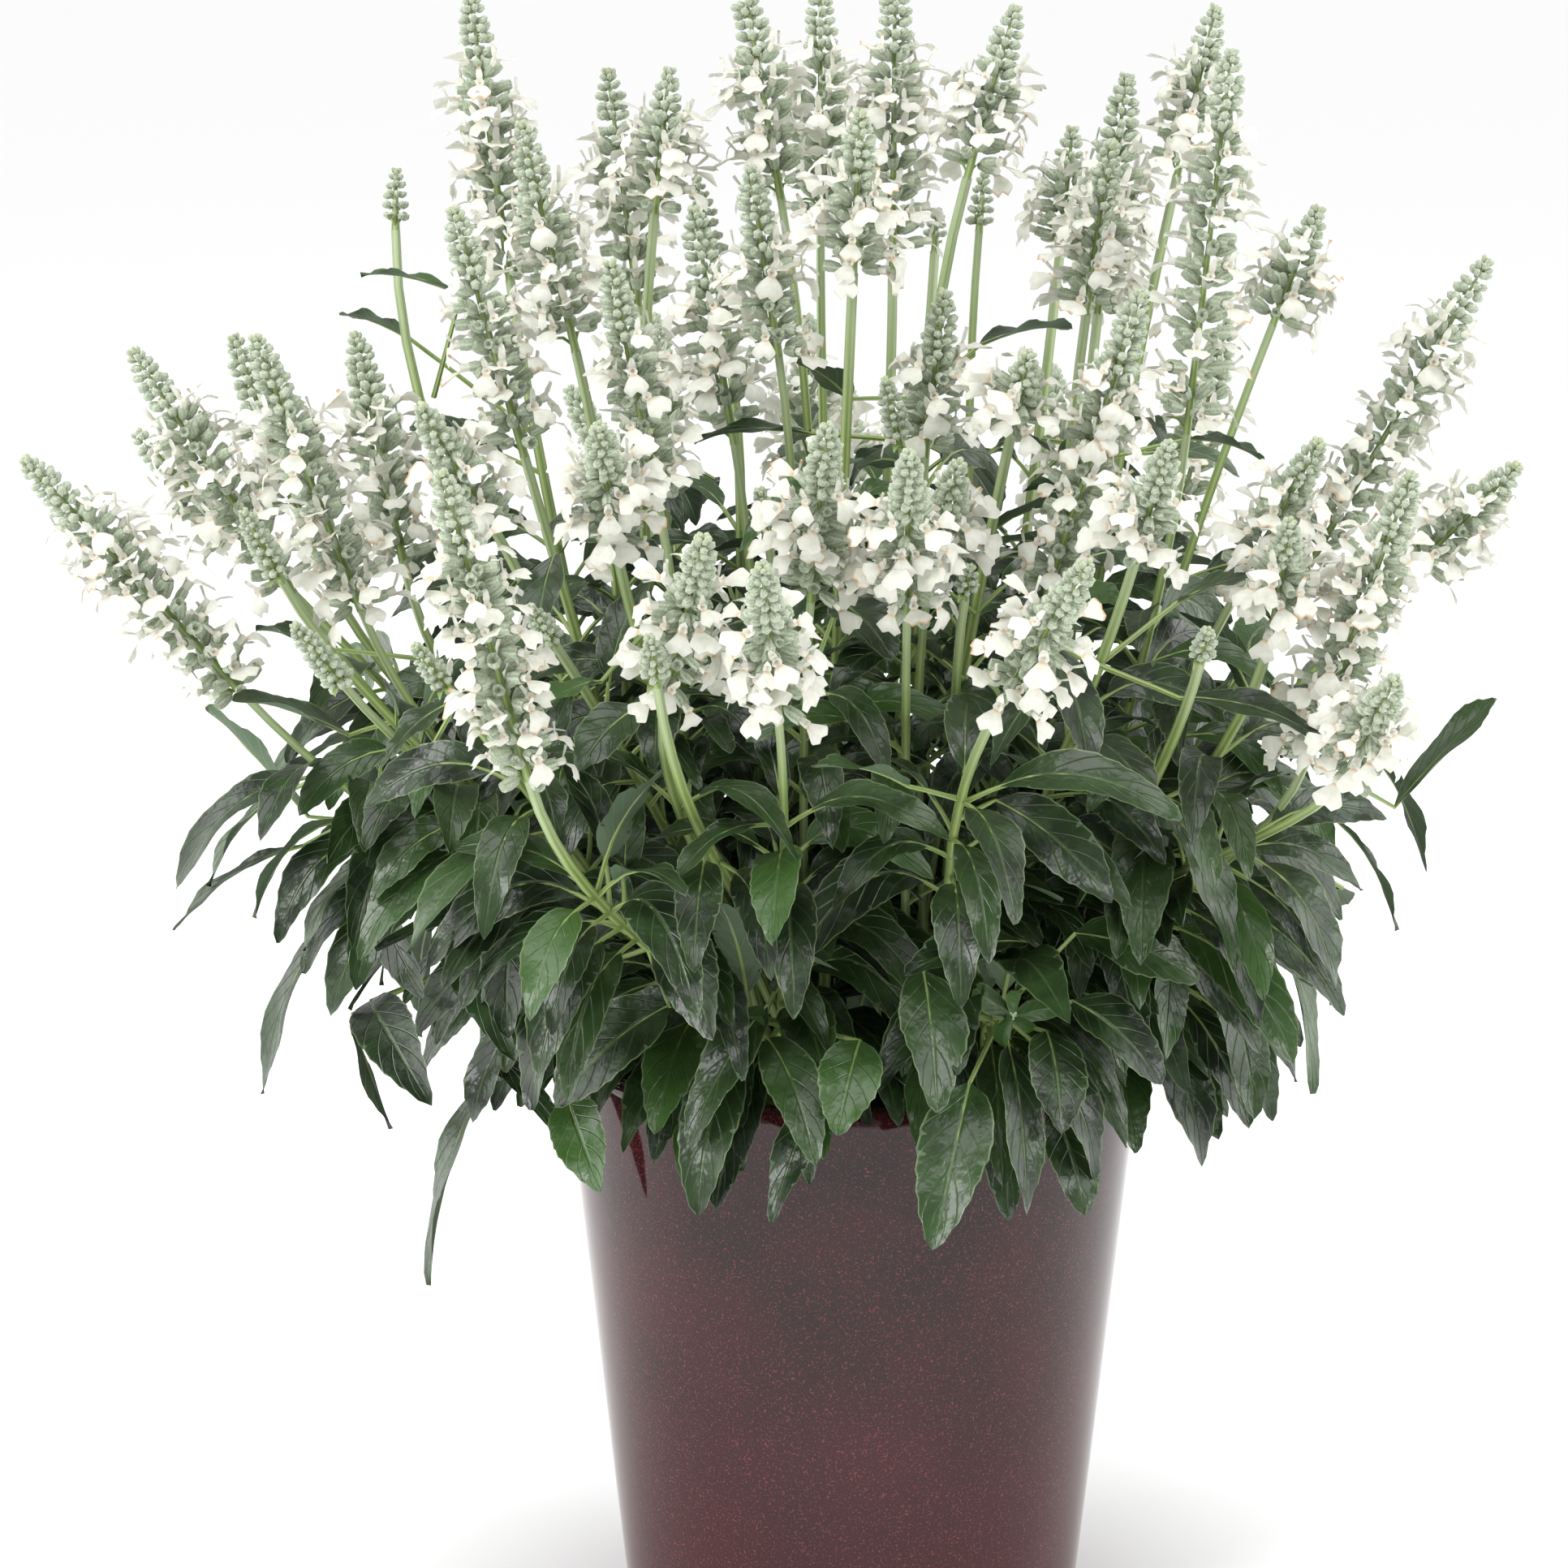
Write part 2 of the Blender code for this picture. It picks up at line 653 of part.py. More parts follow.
def horn_faces(verts, round_lobe, out, axis):
    """A lobe drawn out into a narrow throat and a flared mouth, in place of its one tip."""
    left, low, right, top, top_left = round_lobe
    mouth = verts[out]
    outward = unit(mouth - 0.5 * (verts[left] + verts[right]))
    across = unit(np.cross(axis, outward))
    upward = np.cross(outward, across)
    throat = [mouth + THROAT * (math.cos(a) * across + math.sin(a) * upward)
              for a in (-math.pi / 2, math.pi / 6, 5 * math.pi / 6)]
    end = mouth + COROLLA_LENGTH * outward
    flare = [end - 0.8 * COROLLA_FLARE * upward,
             end + COROLLA_FLARE * across + 1.0 * upward - 2.0 * outward,
             end - COROLLA_FLARE * across + 1.0 * upward - 2.0 * outward]
    a, b, c = out, len(verts), len(verts) + 1
    verts[out] = throat[0]
    verts += throat[1:] + flare
    d, e, f = c + 1, c + 2, c + 3
    faces = [[left, low, a], [low, right, a], [right, top, b], [right, b, a], [top, top_left, b],
             [top_left, c, b], [top_left, left, c], [left, a, c]]
    for near, far in (((a, b), (d, e)), ((b, c), (e, f)), ((c, a), (f, d))):
        faces += [[near[0], near[1], far[1]], [near[0], far[1], far[0]]]
    return faces + [[d, e, f]]


def leaf_solid(leaf, spare=0.0, skip=0.0):
    """A blade with a flat face, a keel under its midrib and waved edges, on a thin stalk."""
    rng = random.Random(leaf.name)
    stations, widths = (INNER_STATIONS, INNER_WIDTHS) if leaf.inner else (LEAF_STATIONS, LEAF_WIDTHS)
    shares = np.array((0.0,) + stations + (1.0,))[:, None]
    arc = (1 - shares) ** 2 * leaf.foot + 2 * (1 - shares) * shares * leaf.arch
    arc = arc + shares**2 * leaf.tip
    start = leaf.root + (leaf.foot - leaf.root) * skip
    points = np.vstack([start, arc])
    tangents = np.gradient(points, axis=0)
    tangents = tangents / np.linalg.norm(tangents, axis=1)[:, None]
    facing = leaf_facing(leaf)
    half = 0.5 * leaf.width
    halves = [STALK_HALF_WIDTH, STALK_HALF_WIDTH + 0.3] + [half * w for w in widths]
    rings = []
    for i, (point, tangent) in enumerate(zip(points[:-1], tangents[:-1])):
        side, normal = blade_frame(facing, tangent, leaf.roll)
        wave = LEAF_WAVE * rng.uniform(0.5, 1.0) * (-1) ** i if i > 1 else 0.0
        wide = (halves[i] + spare) * (rng.uniform(0.93, 1.07) if i > 1 else 1.0)
        depth = LEAF_DEPTH + 2 * spare
        rings.append([
            point + side * wide + normal * (wave + spare),
            point - side * wide + normal * (wave + spare),
            point - normal * depth,
        ])
    return loft(rings, tip=points[-1])


def leaf_facing(leaf):
    """Where the leaf's upper face looks: up, and outwards the more the blade hangs."""
    outward = unit(leaf.foot * [1, 1, 0] + [0, -1e-3, 0])
    fall = unit(leaf.tip - leaf.foot)[2]
    return np.array([0.0, 0.0, 1.0]) + min(max(0.3 - 1.2 * fall, -0.3), 1.3) * outward


def blade_frame(facing, tangent, roll):
    """The directions across a blade and out of its upper face."""
    normal = unit(facing - tangent * facing.dot(tangent))
    side = np.cross(normal, tangent)
    cos, sin = math.cos(roll), math.sin(roll)
    return cos * side + sin * normal, cos * normal - sin * side


def tree_of(solid):
    verts, faces = solid
    return BVHTree.FromPolygons([tuple(p) for p in verts], faces), verts.min(0), verts.max(0)


class Crowd:
    """The solids that stand so far, which a new leaf or flower must not touch."""

    def __init__(self):
        self.members = []

    def add(self, owner, solid):
        self.members.append((owner, *tree_of(solid)))

    def touches(self, solid, *without):
        tree, low, high = tree_of(solid)
        for owner, other, least, most in self.members:
            if owner in without or (low > most).any() or (high < least).any():
                continue
            if tree.overlap(other):
                return True
        return False


def pot_proxy():
    """A coarse pot, a little larger than the real one, for keeping leaves off it."""
    rings = []
    for height, radius in ((0.0, POT_BASE_RADIUS), (POT_HEIGHT, POT_TOP_RADIUS)):
        rings.append([polar(radius + 3.0, 15 * i, height + 3.0) for i in range(24)])
    return loft(rings)


def skirt_depth(across, reach):
    """How far before the axis a leaf of the outer skirt hangs, on a round of the given reach."""
    return -max(math.sqrt(max(reach**2 - across**2, 0.0)), 16.0)


def drawn_leaves():
    """The leaves placed on the elevation, and the skirt's rear, as (name, foot, tip, width)."""
    drawn = []
    for i, (foot_x, foot_up, tip_x, tip_up, width) in enumerate(SKIRT_LEAVES):
        rng = random.Random(f"skirt {i}")
        reach = SKIRT_REACH + rng.uniform(-14, 14)
        foot = seen(foot_x, foot_up, skirt_depth(foot_x, reach - 34))
        tip = seen(tip_x, tip_up, skirt_depth(tip_x, reach))
        drawn.append((f"skirt_{i + 1:02d}", foot, tip, width))
        if i % 4:
            turn = 180 + rng.uniform(-6, 6)
            drawn.append((f"back_{i + 1:02d}", turned(foot, turn), turned(tip, turn), width))
    for i, (foot, tip, width) in enumerate(UPPER_LEAVES):
        drawn.append((f"upper_{i + 1:02d}", seen(*foot), seen(*tip), width))
    return drawn


def leaf_fits(leaf, crowd):
    """Whether the leaf touches nothing: near its root, its own stem doesn't count."""
    stalk = np.linalg.norm(leaf.foot - leaf.root)
    clear = INNER_CLEAR if leaf.inner else LEAF_CLEAR
    own_clear = leaf_solid(leaf, 0.5 * clear, min(NEAR_STEM / stalk, 0.7))
    full = leaf_solid(leaf, clear, min(NEAR_ROOT / stalk, 0.3))
    if crowd.touches(full, leaf.stem.name) or crowd.touches(own_clear):
        return False
    return not crosses_itself(leaf_solid(leaf))


def crosses_itself(solid):
    """Whether two faces cross that share no corner."""
    tree, _, _ = tree_of(solid)
    return any(not set(solid[1][i]) & set(solid[1][j]) for i, j in tree.overlap(tree))


def hang_leaf(name, stems, crowd, foot, tip, width):
    """The drawn leaf on the nearest stem from which its stalk and blade touch nothing."""
    rng = random.Random(name)
    chord = np.linalg.norm(tip - foot)
    outward = unit(foot * [1, 1, 0])
    options = []
    for number, stem in enumerate(stems):
        for slot in range(FIRST_SLOT, LAST_SLOT):
            point, _, side, rise, _ = stem.places[slot]
            reach = foot - point
            gap = np.linalg.norm(reach)
            if point[2] < RIM_CLEAR or gap > LONGEST_STALK or gap < SHORTEST_STALK:
                continue
            for face, out in enumerate((side, rise, -side, -rise)):
                if out.dot(reach) > FACE_SHARE * gap and (slot, face) not in stem.leaves:
                    options.append((gap, number, slot, face))
    for _, number, slot, face in sorted(options)[:NEAREST_ROOTS]:
        root = leaf_root(stems[number], slot, face)
        for shift in (0 * outward, LEAF_SHIFT * outward, -LEAF_SHIFT * outward):
            arch = 0.5 * (foot + tip) + 0.16 * chord * (np.array([0, 0, 1.0]) + 0.6 * outward)
            leaf = Leaf(name, stems[number], slot, face, root, foot + shift, arch + shift,
                        tip + shift, width, rng.uniform(-0.25, 0.25))
            if leaf_fits(leaf, crowd):
                return leaf
    return None


def leaf_root(stem, slot, face):
    """The middle of one of the stem's four faces at a slot."""
    point, _, side, rise, radius = stem.places[slot]
    return point + (side, rise, -side, -rise)[face] * math.sqrt(0.5) * radius


def stem_leaf(name, stem, crowd, slot, face, inner=False):
    """A leaf that grows from its stem by the rule: out to one side, then down in an arch."""
    rng = random.Random(name)
    _, tangent, side, rise, _ = stem.places[slot]
    out = (side, rise, -side, -rise)[face]
    root = leaf_root(stem, slot, face)
    for attempt in range(8):
        swing = np.cross(tangent, out) * rng.uniform(-0.15, 0.15) * (1 + attempt)
        leave = unit(0.75 * out + 0.5 * tangent + [0, 0, 0.15] + swing)
        length = rng.uniform(52, 76) * (1.0 - 0.02 * attempt)
        if out.dot(unit(root * [1, 1, 0])) < -0.3:
            length *= 0.75
        foot = root + leave * rng.uniform(10, 16)
        fall = unit(leave + [0, 0, -rng.uniform(0.5, 1.1)])
        leaf = Leaf(name, stem, slot, face, root, foot, foot + 0.5 * length * leave,
                    foot + length * fall, length * rng.uniform(0.28, 0.36),
                    rng.uniform(-0.3, 0.3), inner)
        if leaf_fits(leaf, crowd):
            return leaf
    return None


def plan_leaves(stems, crowd):
    """Every leaf, kept with its stem: the drawn ones, then pairs by the rule, then inner ones."""

    def keep(leaf):
        if leaf is not None:
            leaf.stem.leaves[(leaf.slot, leaf.face)] = leaf
            stalk = np.linalg.norm(leaf.foot - leaf.root)
            crowd.add(leaf.name, leaf_solid(leaf, 0.0, min(NEAR_ROOT / stalk, 0.3)))
        return leaf is not None

    for name, foot, tip, width in drawn_leaves():
        keep(hang_leaf(name, stems, crowd, foot, tip, width))
    for i, stem in enumerate(stems):
        slot = SHOOT_SLOT if stem.name.startswith("shoot") else STEM_SLOTS[i % len(STEM_SLOTS)]
        if slot is None or stem.places[slot][0][2] < RIM_CLEAR:
            continue
        for face in ((0, 2) if i % 2 else (1, 3)):
            if (slot, face) not in stem.leaves:
                keep(stem_leaf(f"{stem.name} {slot} {face}", stem, crowd, slot, face))
    bare = [(stem, slot, face) for stem in stems for slot in sorted({s for s, _ in stem.leaves})
            for face in range(4) if (slot, face) not in stem.leaves]
    random.Random("whorls").shuffle(bare)
    missing = INNER_LEAVES
    for stem, slot, face in bare:
        if missing and RIM_CLEAR < stem.places[slot][0][2] < INNER_TOP:
            name = f"inner {stem.name} {slot} {face}"
            missing -= keep(stem_leaf(name, stem, crowd, slot, face, inner=True))
    print(f"{INNER_LEAVES - missing} inner leaves")


def crown_solid(place):
    return loft([
        [place + polar(radius, 360 / CROWN_SIDES * i, height) for i in range(CROWN_SIDES)]
        for radius, height in CROWN_PROFILE
    ])


def foliage_solid(place, stems, heads):
    """A crown with its stems, their leaves and their young heads, grown as one closed mesh."""
    verts, faces = crown_solid(place)
    verts = list(verts)
    for stem in stems:
        side, band = socket_face(stem.socket)
        quad = side_quad(CROWN_SIDES, band, side)
        base = len(verts)
        tube, tube_faces = stem_solid(stem, heads.get(stem.name))
        verts += list(tube)
        faces = without_quad(faces, quad)
        faces += [[i + base for i in f] for f in tube_faces[2:]]
        ring = least_twist(verts, quad, list(range(base, base + 4)))
        for i in range(4):
            j = (i + 1) % 4
            faces += [[quad[i], quad[j], ring[j]], [quad[i], ring[j], ring[i]]]
    return np.array(verts), faces


def mesh_of(name, solid):
    """A mesh of the given solid, in metres."""
    verts, faces = solid
    mesh = bpy.data.meshes.new(name)
    mesh.from_pydata([tuple(p * MM) for p in verts], [], faces)
    return mesh


def new_object(name, mesh, kind):
    """An object with the mesh and a material of its own."""
    obj = bpy.data.objects.new(name, mesh)
    bpy.context.scene.collection.objects.link(obj)
    mesh.materials.append(new_material(name, kind))
    return obj


def new_material(name, kind):
    colour, roughness = COLOURS[kind]
    material = bpy.data.materials.new(name)
    material.use_nodes = True
    shader = material.node_tree.nodes["Principled BSDF"]
    shader.inputs["Base Color"].default_value = (*colour, 1.0)
    shader.inputs["Roughness"].default_value = roughness
    shader.inputs["Metallic"].default_value = 0.0
    material.diffuse_color = (*colour, 1.0)
    return material


def cut(obj, solids):
    """Cuts the solids out of the object."""
    group = bpy.data.collections.new("cutters")
    bpy.context.scene.collection.children.link(group)
    for solid in solids:
        group.objects.link(bpy.data.objects.new("cutter", mesh_of("cutter", solid)))
    boolean = obj.modifiers.new("holes", "BOOLEAN")
    boolean.operation = "DIFFERENCE"
    boolean.operand_type = "COLLECTION"
    boolean.collection = group
    boolean.solver = "EXACT"
    bpy.context.view_layer.update()
    graph = bpy.context.evaluated_depsgraph_get()
    result = bpy.data.meshes.new_from_object(obj.evaluated_get(graph))
    obj.modifiers.clear()
    obj.data = result
    for helper in list(group.objects):
        bpy.data.objects.remove(helper)
    bpy.data.collections.remove(group)


def spun(name, profile, kind):
    """An object turned from a profile of (radius, height), with a flat face at both ends."""
    shape = bmesh.new()
    verts = [shape.verts.new((radius * MM, 0.0, height * MM)) for radius, height in profile]
    edges = [shape.edges.new(pair) for pair in zip(verts, verts[1:])]
    bmesh.ops.spin(shape, geom=verts + edges, cent=(0, 0, 0), axis=(0, 0, 1),
                   angle=2 * math.pi, steps=POT_SIDES, use_merge=True)
    bmesh.ops.remove_doubles(shape, verts=shape.verts, dist=1e-6)
    bmesh.ops.holes_fill(shape, edges=shape.edges, sides=POT_SIDES)
    bmesh.ops.recalc_face_normals(shape, faces=shape.faces)
    mesh = bpy.data.meshes.new(name)
    shape.to_mesh(mesh)
    shape.free()
    return new_object(name, mesh, kind)


def inner_radius(height):
    slope = (POT_TOP_RADIUS - POT_BASE_RADIUS) / POT_HEIGHT
    return POT_BASE_RADIUS - POT_WALL + slope * height


def pot_profile():
    """Up the outer wall, over the rounded lip and down inside to the floor."""
    low, top = POT_BASE_RADIUS, POT_TOP_RADIUS
    lip = [(top - 0.5 * POT_WALL + 0.5 * POT_WALL * math.cos(a),
            POT_HEIGHT - POT_LIP + POT_LIP * math.sin(a))
           for a in np.linspace(0, math.pi, 6)]
    wall = [(low - POT_FOOT, 0.0), (low, POT_FOOT)]
    inside = [(inner_radius(POT_FLOOR + POT_COVE), POT_FLOOR + POT_COVE),
              (inner_radius(POT_FLOOR) - POT_COVE, POT_FLOOR)]
    return wall + lip + inside


def soil_profile():
    """Up the soil's side, which keeps a hair's breadth off the pot."""
    low = POT_FLOOR + GAP
    side = low + SOIL_EDGE
    return [(inner_radius(low) - SOIL_EDGE, low), (inner_radius(side) - GAP, side),
            (inner_radius(SOIL_TOP) - GAP, SOIL_TOP)]


def crown_hole(place):
    """The plain hole in the soil that a crown stands in."""
    return loft([
        [place * [1, 1, 0] + polar(CROWN_HOLE_RADIUS, 360 / CROWN_SIDES * i, height)
         for i in range(CROWN_SIDES)]
        for height in (SOIL_TOP - CROWN_SUNK - GAP, SOIL_TOP + CROWN_HOLE_RADIUS)
    ])


def main():
    for obj in list(bpy.data.objects):
        bpy.data.objects.remove(obj)
    crowns = crown_places()
    heads = plan_heads()
    stems = plan_stems(heads, crowns)
    crowd = Crowd()
    crowd.add("pot", pot_proxy())
    for stem in stems:
        crowd.add(stem.name, stem_solid(stem))
    for name, foot, tip in heads:
        crowd.add(name, head_solid(name, foot, tip))
    solids = {}
    for name, foot, tip in heads:
        flowers = 0 if name.startswith("bud") else round(np.linalg.norm(tip - foot) / FLOWER_STEP)
        solids[name] = head_solid(name, foot, tip, flowers)
        while crowd.touches(solids[name], name) and flowers:
            flowers -= 1
            solids[name] = head_solid(name, foot, tip, flowers)
        if crowd.touches(solids[name], name):
            print(f"{name} touches something")
        crowd.add(name, solids[name])
    plan_leaves(stems, crowd)
    print(f"{sum(len(stem.leaves) for stem in stems)} leaves")

    pot = spun("pot", pot_profile(), "pot")
    pot.data.shade_smooth()
    pot.data.set_sharp_from_angle(angle=math.radians(40))
    cut(spun("soil", soil_profile(), "soil"), [crown_hole(place) for place in crowns])
    for name, _, _ in heads[: len(HEADS)]:
        new_object(name, mesh_of(name, solids[name]), "head")
    young = {name: solids[name] for name, _, _ in heads[len(HEADS):]}
    for i, place in enumerate(crowns):
        own = [stem for stem in stems if stem.crown == i]
        name = f"leafy_stems_{i + 1:02d}"
        new_object(name, mesh_of(name, foliage_solid(place, own, young)), "leafy_stems")


if __name__ == "__main__":
    main()
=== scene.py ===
"""A white perennial salvia in a tapered, dark glazed pot, dressed round its CAD part.

The plant is planned by the same rules as the CAD part: flower heads and outer leaves are placed on
a front elevation, stems run from them down to the crowns in the soil, and every leaf keeps clear
of what stands there already. Sizes are in millimetres until a mesh is made, the pot stands on
z = 0 with its axis on Z, and the plant's front faces -Y.
"""

from __future__ import annotations

import sys

import logging
import math
import random
from dataclasses import dataclass, field
from enum import Enum
from itertools import product
from typing import Iterator

import bpy
import numpy as np
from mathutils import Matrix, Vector
from mathutils.bvhtree import BVHTree
from mathutils.kdtree import KDTree


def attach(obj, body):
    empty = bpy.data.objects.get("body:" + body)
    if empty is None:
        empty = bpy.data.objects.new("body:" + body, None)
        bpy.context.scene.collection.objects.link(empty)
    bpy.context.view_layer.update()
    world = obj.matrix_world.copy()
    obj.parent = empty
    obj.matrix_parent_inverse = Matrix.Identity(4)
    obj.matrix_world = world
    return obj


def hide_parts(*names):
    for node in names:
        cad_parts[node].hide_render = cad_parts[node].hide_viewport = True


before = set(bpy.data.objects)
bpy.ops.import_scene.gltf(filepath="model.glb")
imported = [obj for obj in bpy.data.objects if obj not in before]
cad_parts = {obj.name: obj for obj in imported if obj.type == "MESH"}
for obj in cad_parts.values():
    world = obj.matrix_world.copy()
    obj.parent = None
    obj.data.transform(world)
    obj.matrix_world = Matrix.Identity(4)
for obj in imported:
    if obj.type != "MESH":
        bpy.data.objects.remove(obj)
log = logging.getLogger("salvia")

Array = np.ndarray
Solid = tuple[Array, list[list[int]]]
Material = bpy.types.Material
Socket = bpy.types.NodeSocket
MM = 0.001
UP = np.array([0.0, 0.0, 1.0])
LEVEL = np.array([1.0, 1.0, 0.0])
ACROSS = np.array([[1.0, 0.0, 0.0]])

# Pot and soil, in millimetres
POT_HEIGHT = 250.0
POT_TOP_RADIUS = 125.0
POT_BASE_RADIUS = 98.0
POT_WALL = 10.0
POT_FLOOR = 12.0
SOIL_TOP = 230.0
GAP = 0.3

# The crowns that stand in the soil
CROWN_SIDES = 8
CROWN_PROFILE = ((8.0, -22.0), (9.5, 3.0), (8.5, 11.0), (4.5, 13.0))
CROWN_CLEAR = 13.5
SHOULDER_BAND = 1
CAP_BAND = 2
SHOULDER_SOCKETS = 8
CAP_SOCKETS = 4
INNER_CROWNS = 3
INNER_CROWN_REACH = 32.0
INNER_CROWN_TURN = 90.0
OUTER_CROWNS = 9
OUTER_CROWN_REACH = 76.0
OUTER_CROWN_TURN = 10.0

# Front elevation: the eye that it is drawn from, and the point that the eye looks at
EYE_DISTANCE = 2400.0
EYE_PITCH = math.radians(11.4)
AIM_ACROSS = -29.6
AIM_UP = 108.8
AIM = np.array([AIM_ACROSS, 0.0, 362.0])

# Stems
STEM_RADIUS = 2.5
STEM_TIP_RADIUS = 2.0
SHOOT_RADIUS = 2.2
STEM_OUT = 6.5
CROWN_AIM_REACH = 84.0
CROWN_AIM_SHARE = 0.36
NEAREST_CROWNS = 5
NEAREST_SOCKETS = 5
HEAD_POINTS = 24
STEM_STATIONS = (0.0, 0.325, 0.675, 1.0)
SLOT_STEP = 0.05
STEM_CLEAR = 6.0
STEM_TO_HEAD = 17.0
STEM_POINTS = 60
STEM_HOLDS = (0.33, 0.2, 0.45)
STEM_SWAYS = (0.0, 0.15, -0.15, 0.35, -0.35)
STEM_LIFTS = (0.45, 0.9, 0.2)
STEM_LEAVES = 0.33

# Plain flower heads, for keeping leaves off them
HEAD_SIDE = np.array([0.31, 0.95, 0.1])
WHORL_STEP = 17.5
WHORL_REACH = 13.5
BUD_REACH = 8.5
RACHIS_RADIUS = 3.4
LOBES = 4
OPEN_SHARE = 0.6
THROAT = 1.6
COROLLA_LENGTH = 10.0
COROLLA_FLARE = 5.0
FLOWER_STEP = 30.0

# The tones of stems, stalks and crowns, and a stem's radius inside its crown
STEM_TONE = 0.25
STALK_TONE = 0.2
CROWN_TONE = 0.9
CORE_RADIUS = 3.0

# Plain leaves, for keeping them off each other
LEAF_DEPTH = 2.0
STALK_HALF_WIDTH = 1.2
LEAF_STATIONS = (0.24, 0.52, 0.8)
LEAF_WIDTHS = (0.84, 1.0, 0.62)
INNER_STATIONS = (0.4, 0.78)
INNER_WIDTHS = (1.0, 0.66)
INNER_CLEAR = 1.6
LEAF_WAVE = 1.1
LEAF_CLEAR = 0.8
SKIRT_REACH = 206.0
RIM_CLEAR = 262.0
FIRST_SLOT = 4
LAST_SLOT = 17
FACE_SHARE = 0.45
NEAREST_ROOTS = 40
LEAF_SHIFT = 7.0
LEAF_SWING = 0.15
LEAF_LEAVES = (0.75, 0.5, 0.15)
LEAF_SHRINK = 0.02
INSIDE_REACH = 103.0
SHORTEST_STALK = 10.0
LONGEST_STALK = 95.0
STALK_LENGTHS = (10, 16)
LEAF_LENGTHS = (52, 76)
LEAF_SHARES = (0.28, 0.36)
LEAF_FALLS = (0.5, 1.1)
LEAF_ROLL = 0.3
HUNG_ROLL = 0.25
HUNG_ARCH = 0.16
HUNG_OUT = 0.6
LEAF_TRIES = 8
INWARD = -0.3
INWARD_SHARE = 0.75
SKIRT_SPREAD = 14
SKIRT_FOOT = 34
BACK_TURN = 6
FADE_HEIGHT = 200.0
FADE_SHARE = 0.5
FIRST_NODE = 3
NODE_STEP = 36.0
FILL_FROM = 256.0
FULL_LEAVES = 330.0
DENSE_TOP = 455.0
THICK_TOP = 370.0
THICK_FROM = 110.0
BARE_FROM = 14
FRONT_ROLL = 0.8
FRONT_DEPTH = 60.0

# What is left out of a leaf's stalk at its root, in millimetres and as the most of the stalk: in the
# test against all but its own stem, and in the test against that too
NEAR_ROOT = (1.5, 0.3)
NEAR_STEM = (6.0, 0.7)

# Flower heads on the elevation: tip across, up, behind; foot across, up, behind
HEADS = (
    ((-176, 241, -250), (-139, 111, -215)),
    ((-39, 201, -285), (-32, 137, -215)),
    ((-64, 213, -262), (-80, 147, -200)),
    ((-11, 261, -205), (-18, 188, -150)),
    ((24, 249, -225), (23, 180, -165)),
    ((45, 245, -160), (34, 200, -120)),
    ((100, 202, -265), (63, 142, -215)),
    ((-109, 261, -195), (-102, 214, -150)),
    ((-104, 331, -115), (-83, 226, -95)),
    ((-185, 269, -155), (-155, 220, -120)),
    ((-171, 354, -90), (-141, 250, -80)),
    ((135, 253, -205), (121, 205, -170)),
    ((162, 421, -65), (143, 259, -60)),
    ((123, 318, -140), (83, 189, -110)),
    ((39, 318, -75), (31, 250, -60)),
    ((75, 292, -140), (68, 260, -118)),
    ((3, 395, -112), (0, 328, -95)),
    ((-44, 371, -80), (-32, 293, -70)),
    ((-68, 354, -15), (-51, 255, -20)),
    ((-142, 390, -20), (-119, 295, -15)),
    ((-164, 446, 75), (-147, 325, 60)),
    ((-105, 413, 105), (-92, 314, 90)),
    ((-79, 413, 22), (-85, 354, 15)),
    ((-47, 453, 50), (-31, 360, 40)),
    ((-14, 449, 140), (-14, 354, 120)),
    ((18, 454, 70), (17, 330, 60)),
    ((69, 440, 20), (49, 369, 10)),
    ((94, 388, 120), (89, 340, 110)),
    ((117, 411, 40), (105, 311, 30)),
    ((110, 382, -30), (100, 311, -25)),
    ((155, 440, 60), (139, 370, 50)),
    ((199, 354, 20), (180, 306, 10)),
    ((271, 332, -15), (197, 205, -20)),
    ((199, 254, -120), (170, 201, -90)),
    ((187, 220, -180), (180, 177, -150)),
    ((239, 240, -170), (195, 120, -130)),
    ((232, 153, -225), (210, 111, -175)),
    ((284, 244, -75), (242, 203, -60)),
    ((-354, 247, -80), (-261, 147, -60)),
    ((-308, 293, -5), (-240, 191, -10)),
    ((-306, 258, 45), (-261, 212, 40)),
    ((-265, 299, 65), (-237, 222, 55)),
    ((-256, 299, -95), (-211, 184, -75)),
    ((-213, 300, 5), (-193, 205, -30)),
)

# Young heads, still in bud, that stay fused to their stems
BUDS = (
    ((-261, 225, -125), (-245, 196, -105)),
    ((-239, 176, -165), (-218, 151, -140)),
    ((-196, 371, 65), (-196, 346, 60)),
    ((-138, 184, -165), (-128, 169, -150)),
    ((-187, 167, -195), (-173, 149, -180)),
    ((-87, 171, -262), (-84, 151, -245)),
    ((-40, 234, -120), (-37, 217, -110)),
    ((14, 281, -115), (21, 252, -100)),
    ((36, 354, 135), (35, 337, 130)),
    ((56, 369, 75), (54, 346, 70)),
    ((50, 201, -160), (48, 189, -150)),
    ((152, 174, -205), (149, 162, -190)),
    ((-67, 367, 65), (-59, 330, 60)),
)

# Heads of the front that the rear repeats, turned half round, and the turn in degrees
REAR_HEADS = ((0, 176), (1, 188), (2, 172), (4, 180), (6, 190), (11, 172))

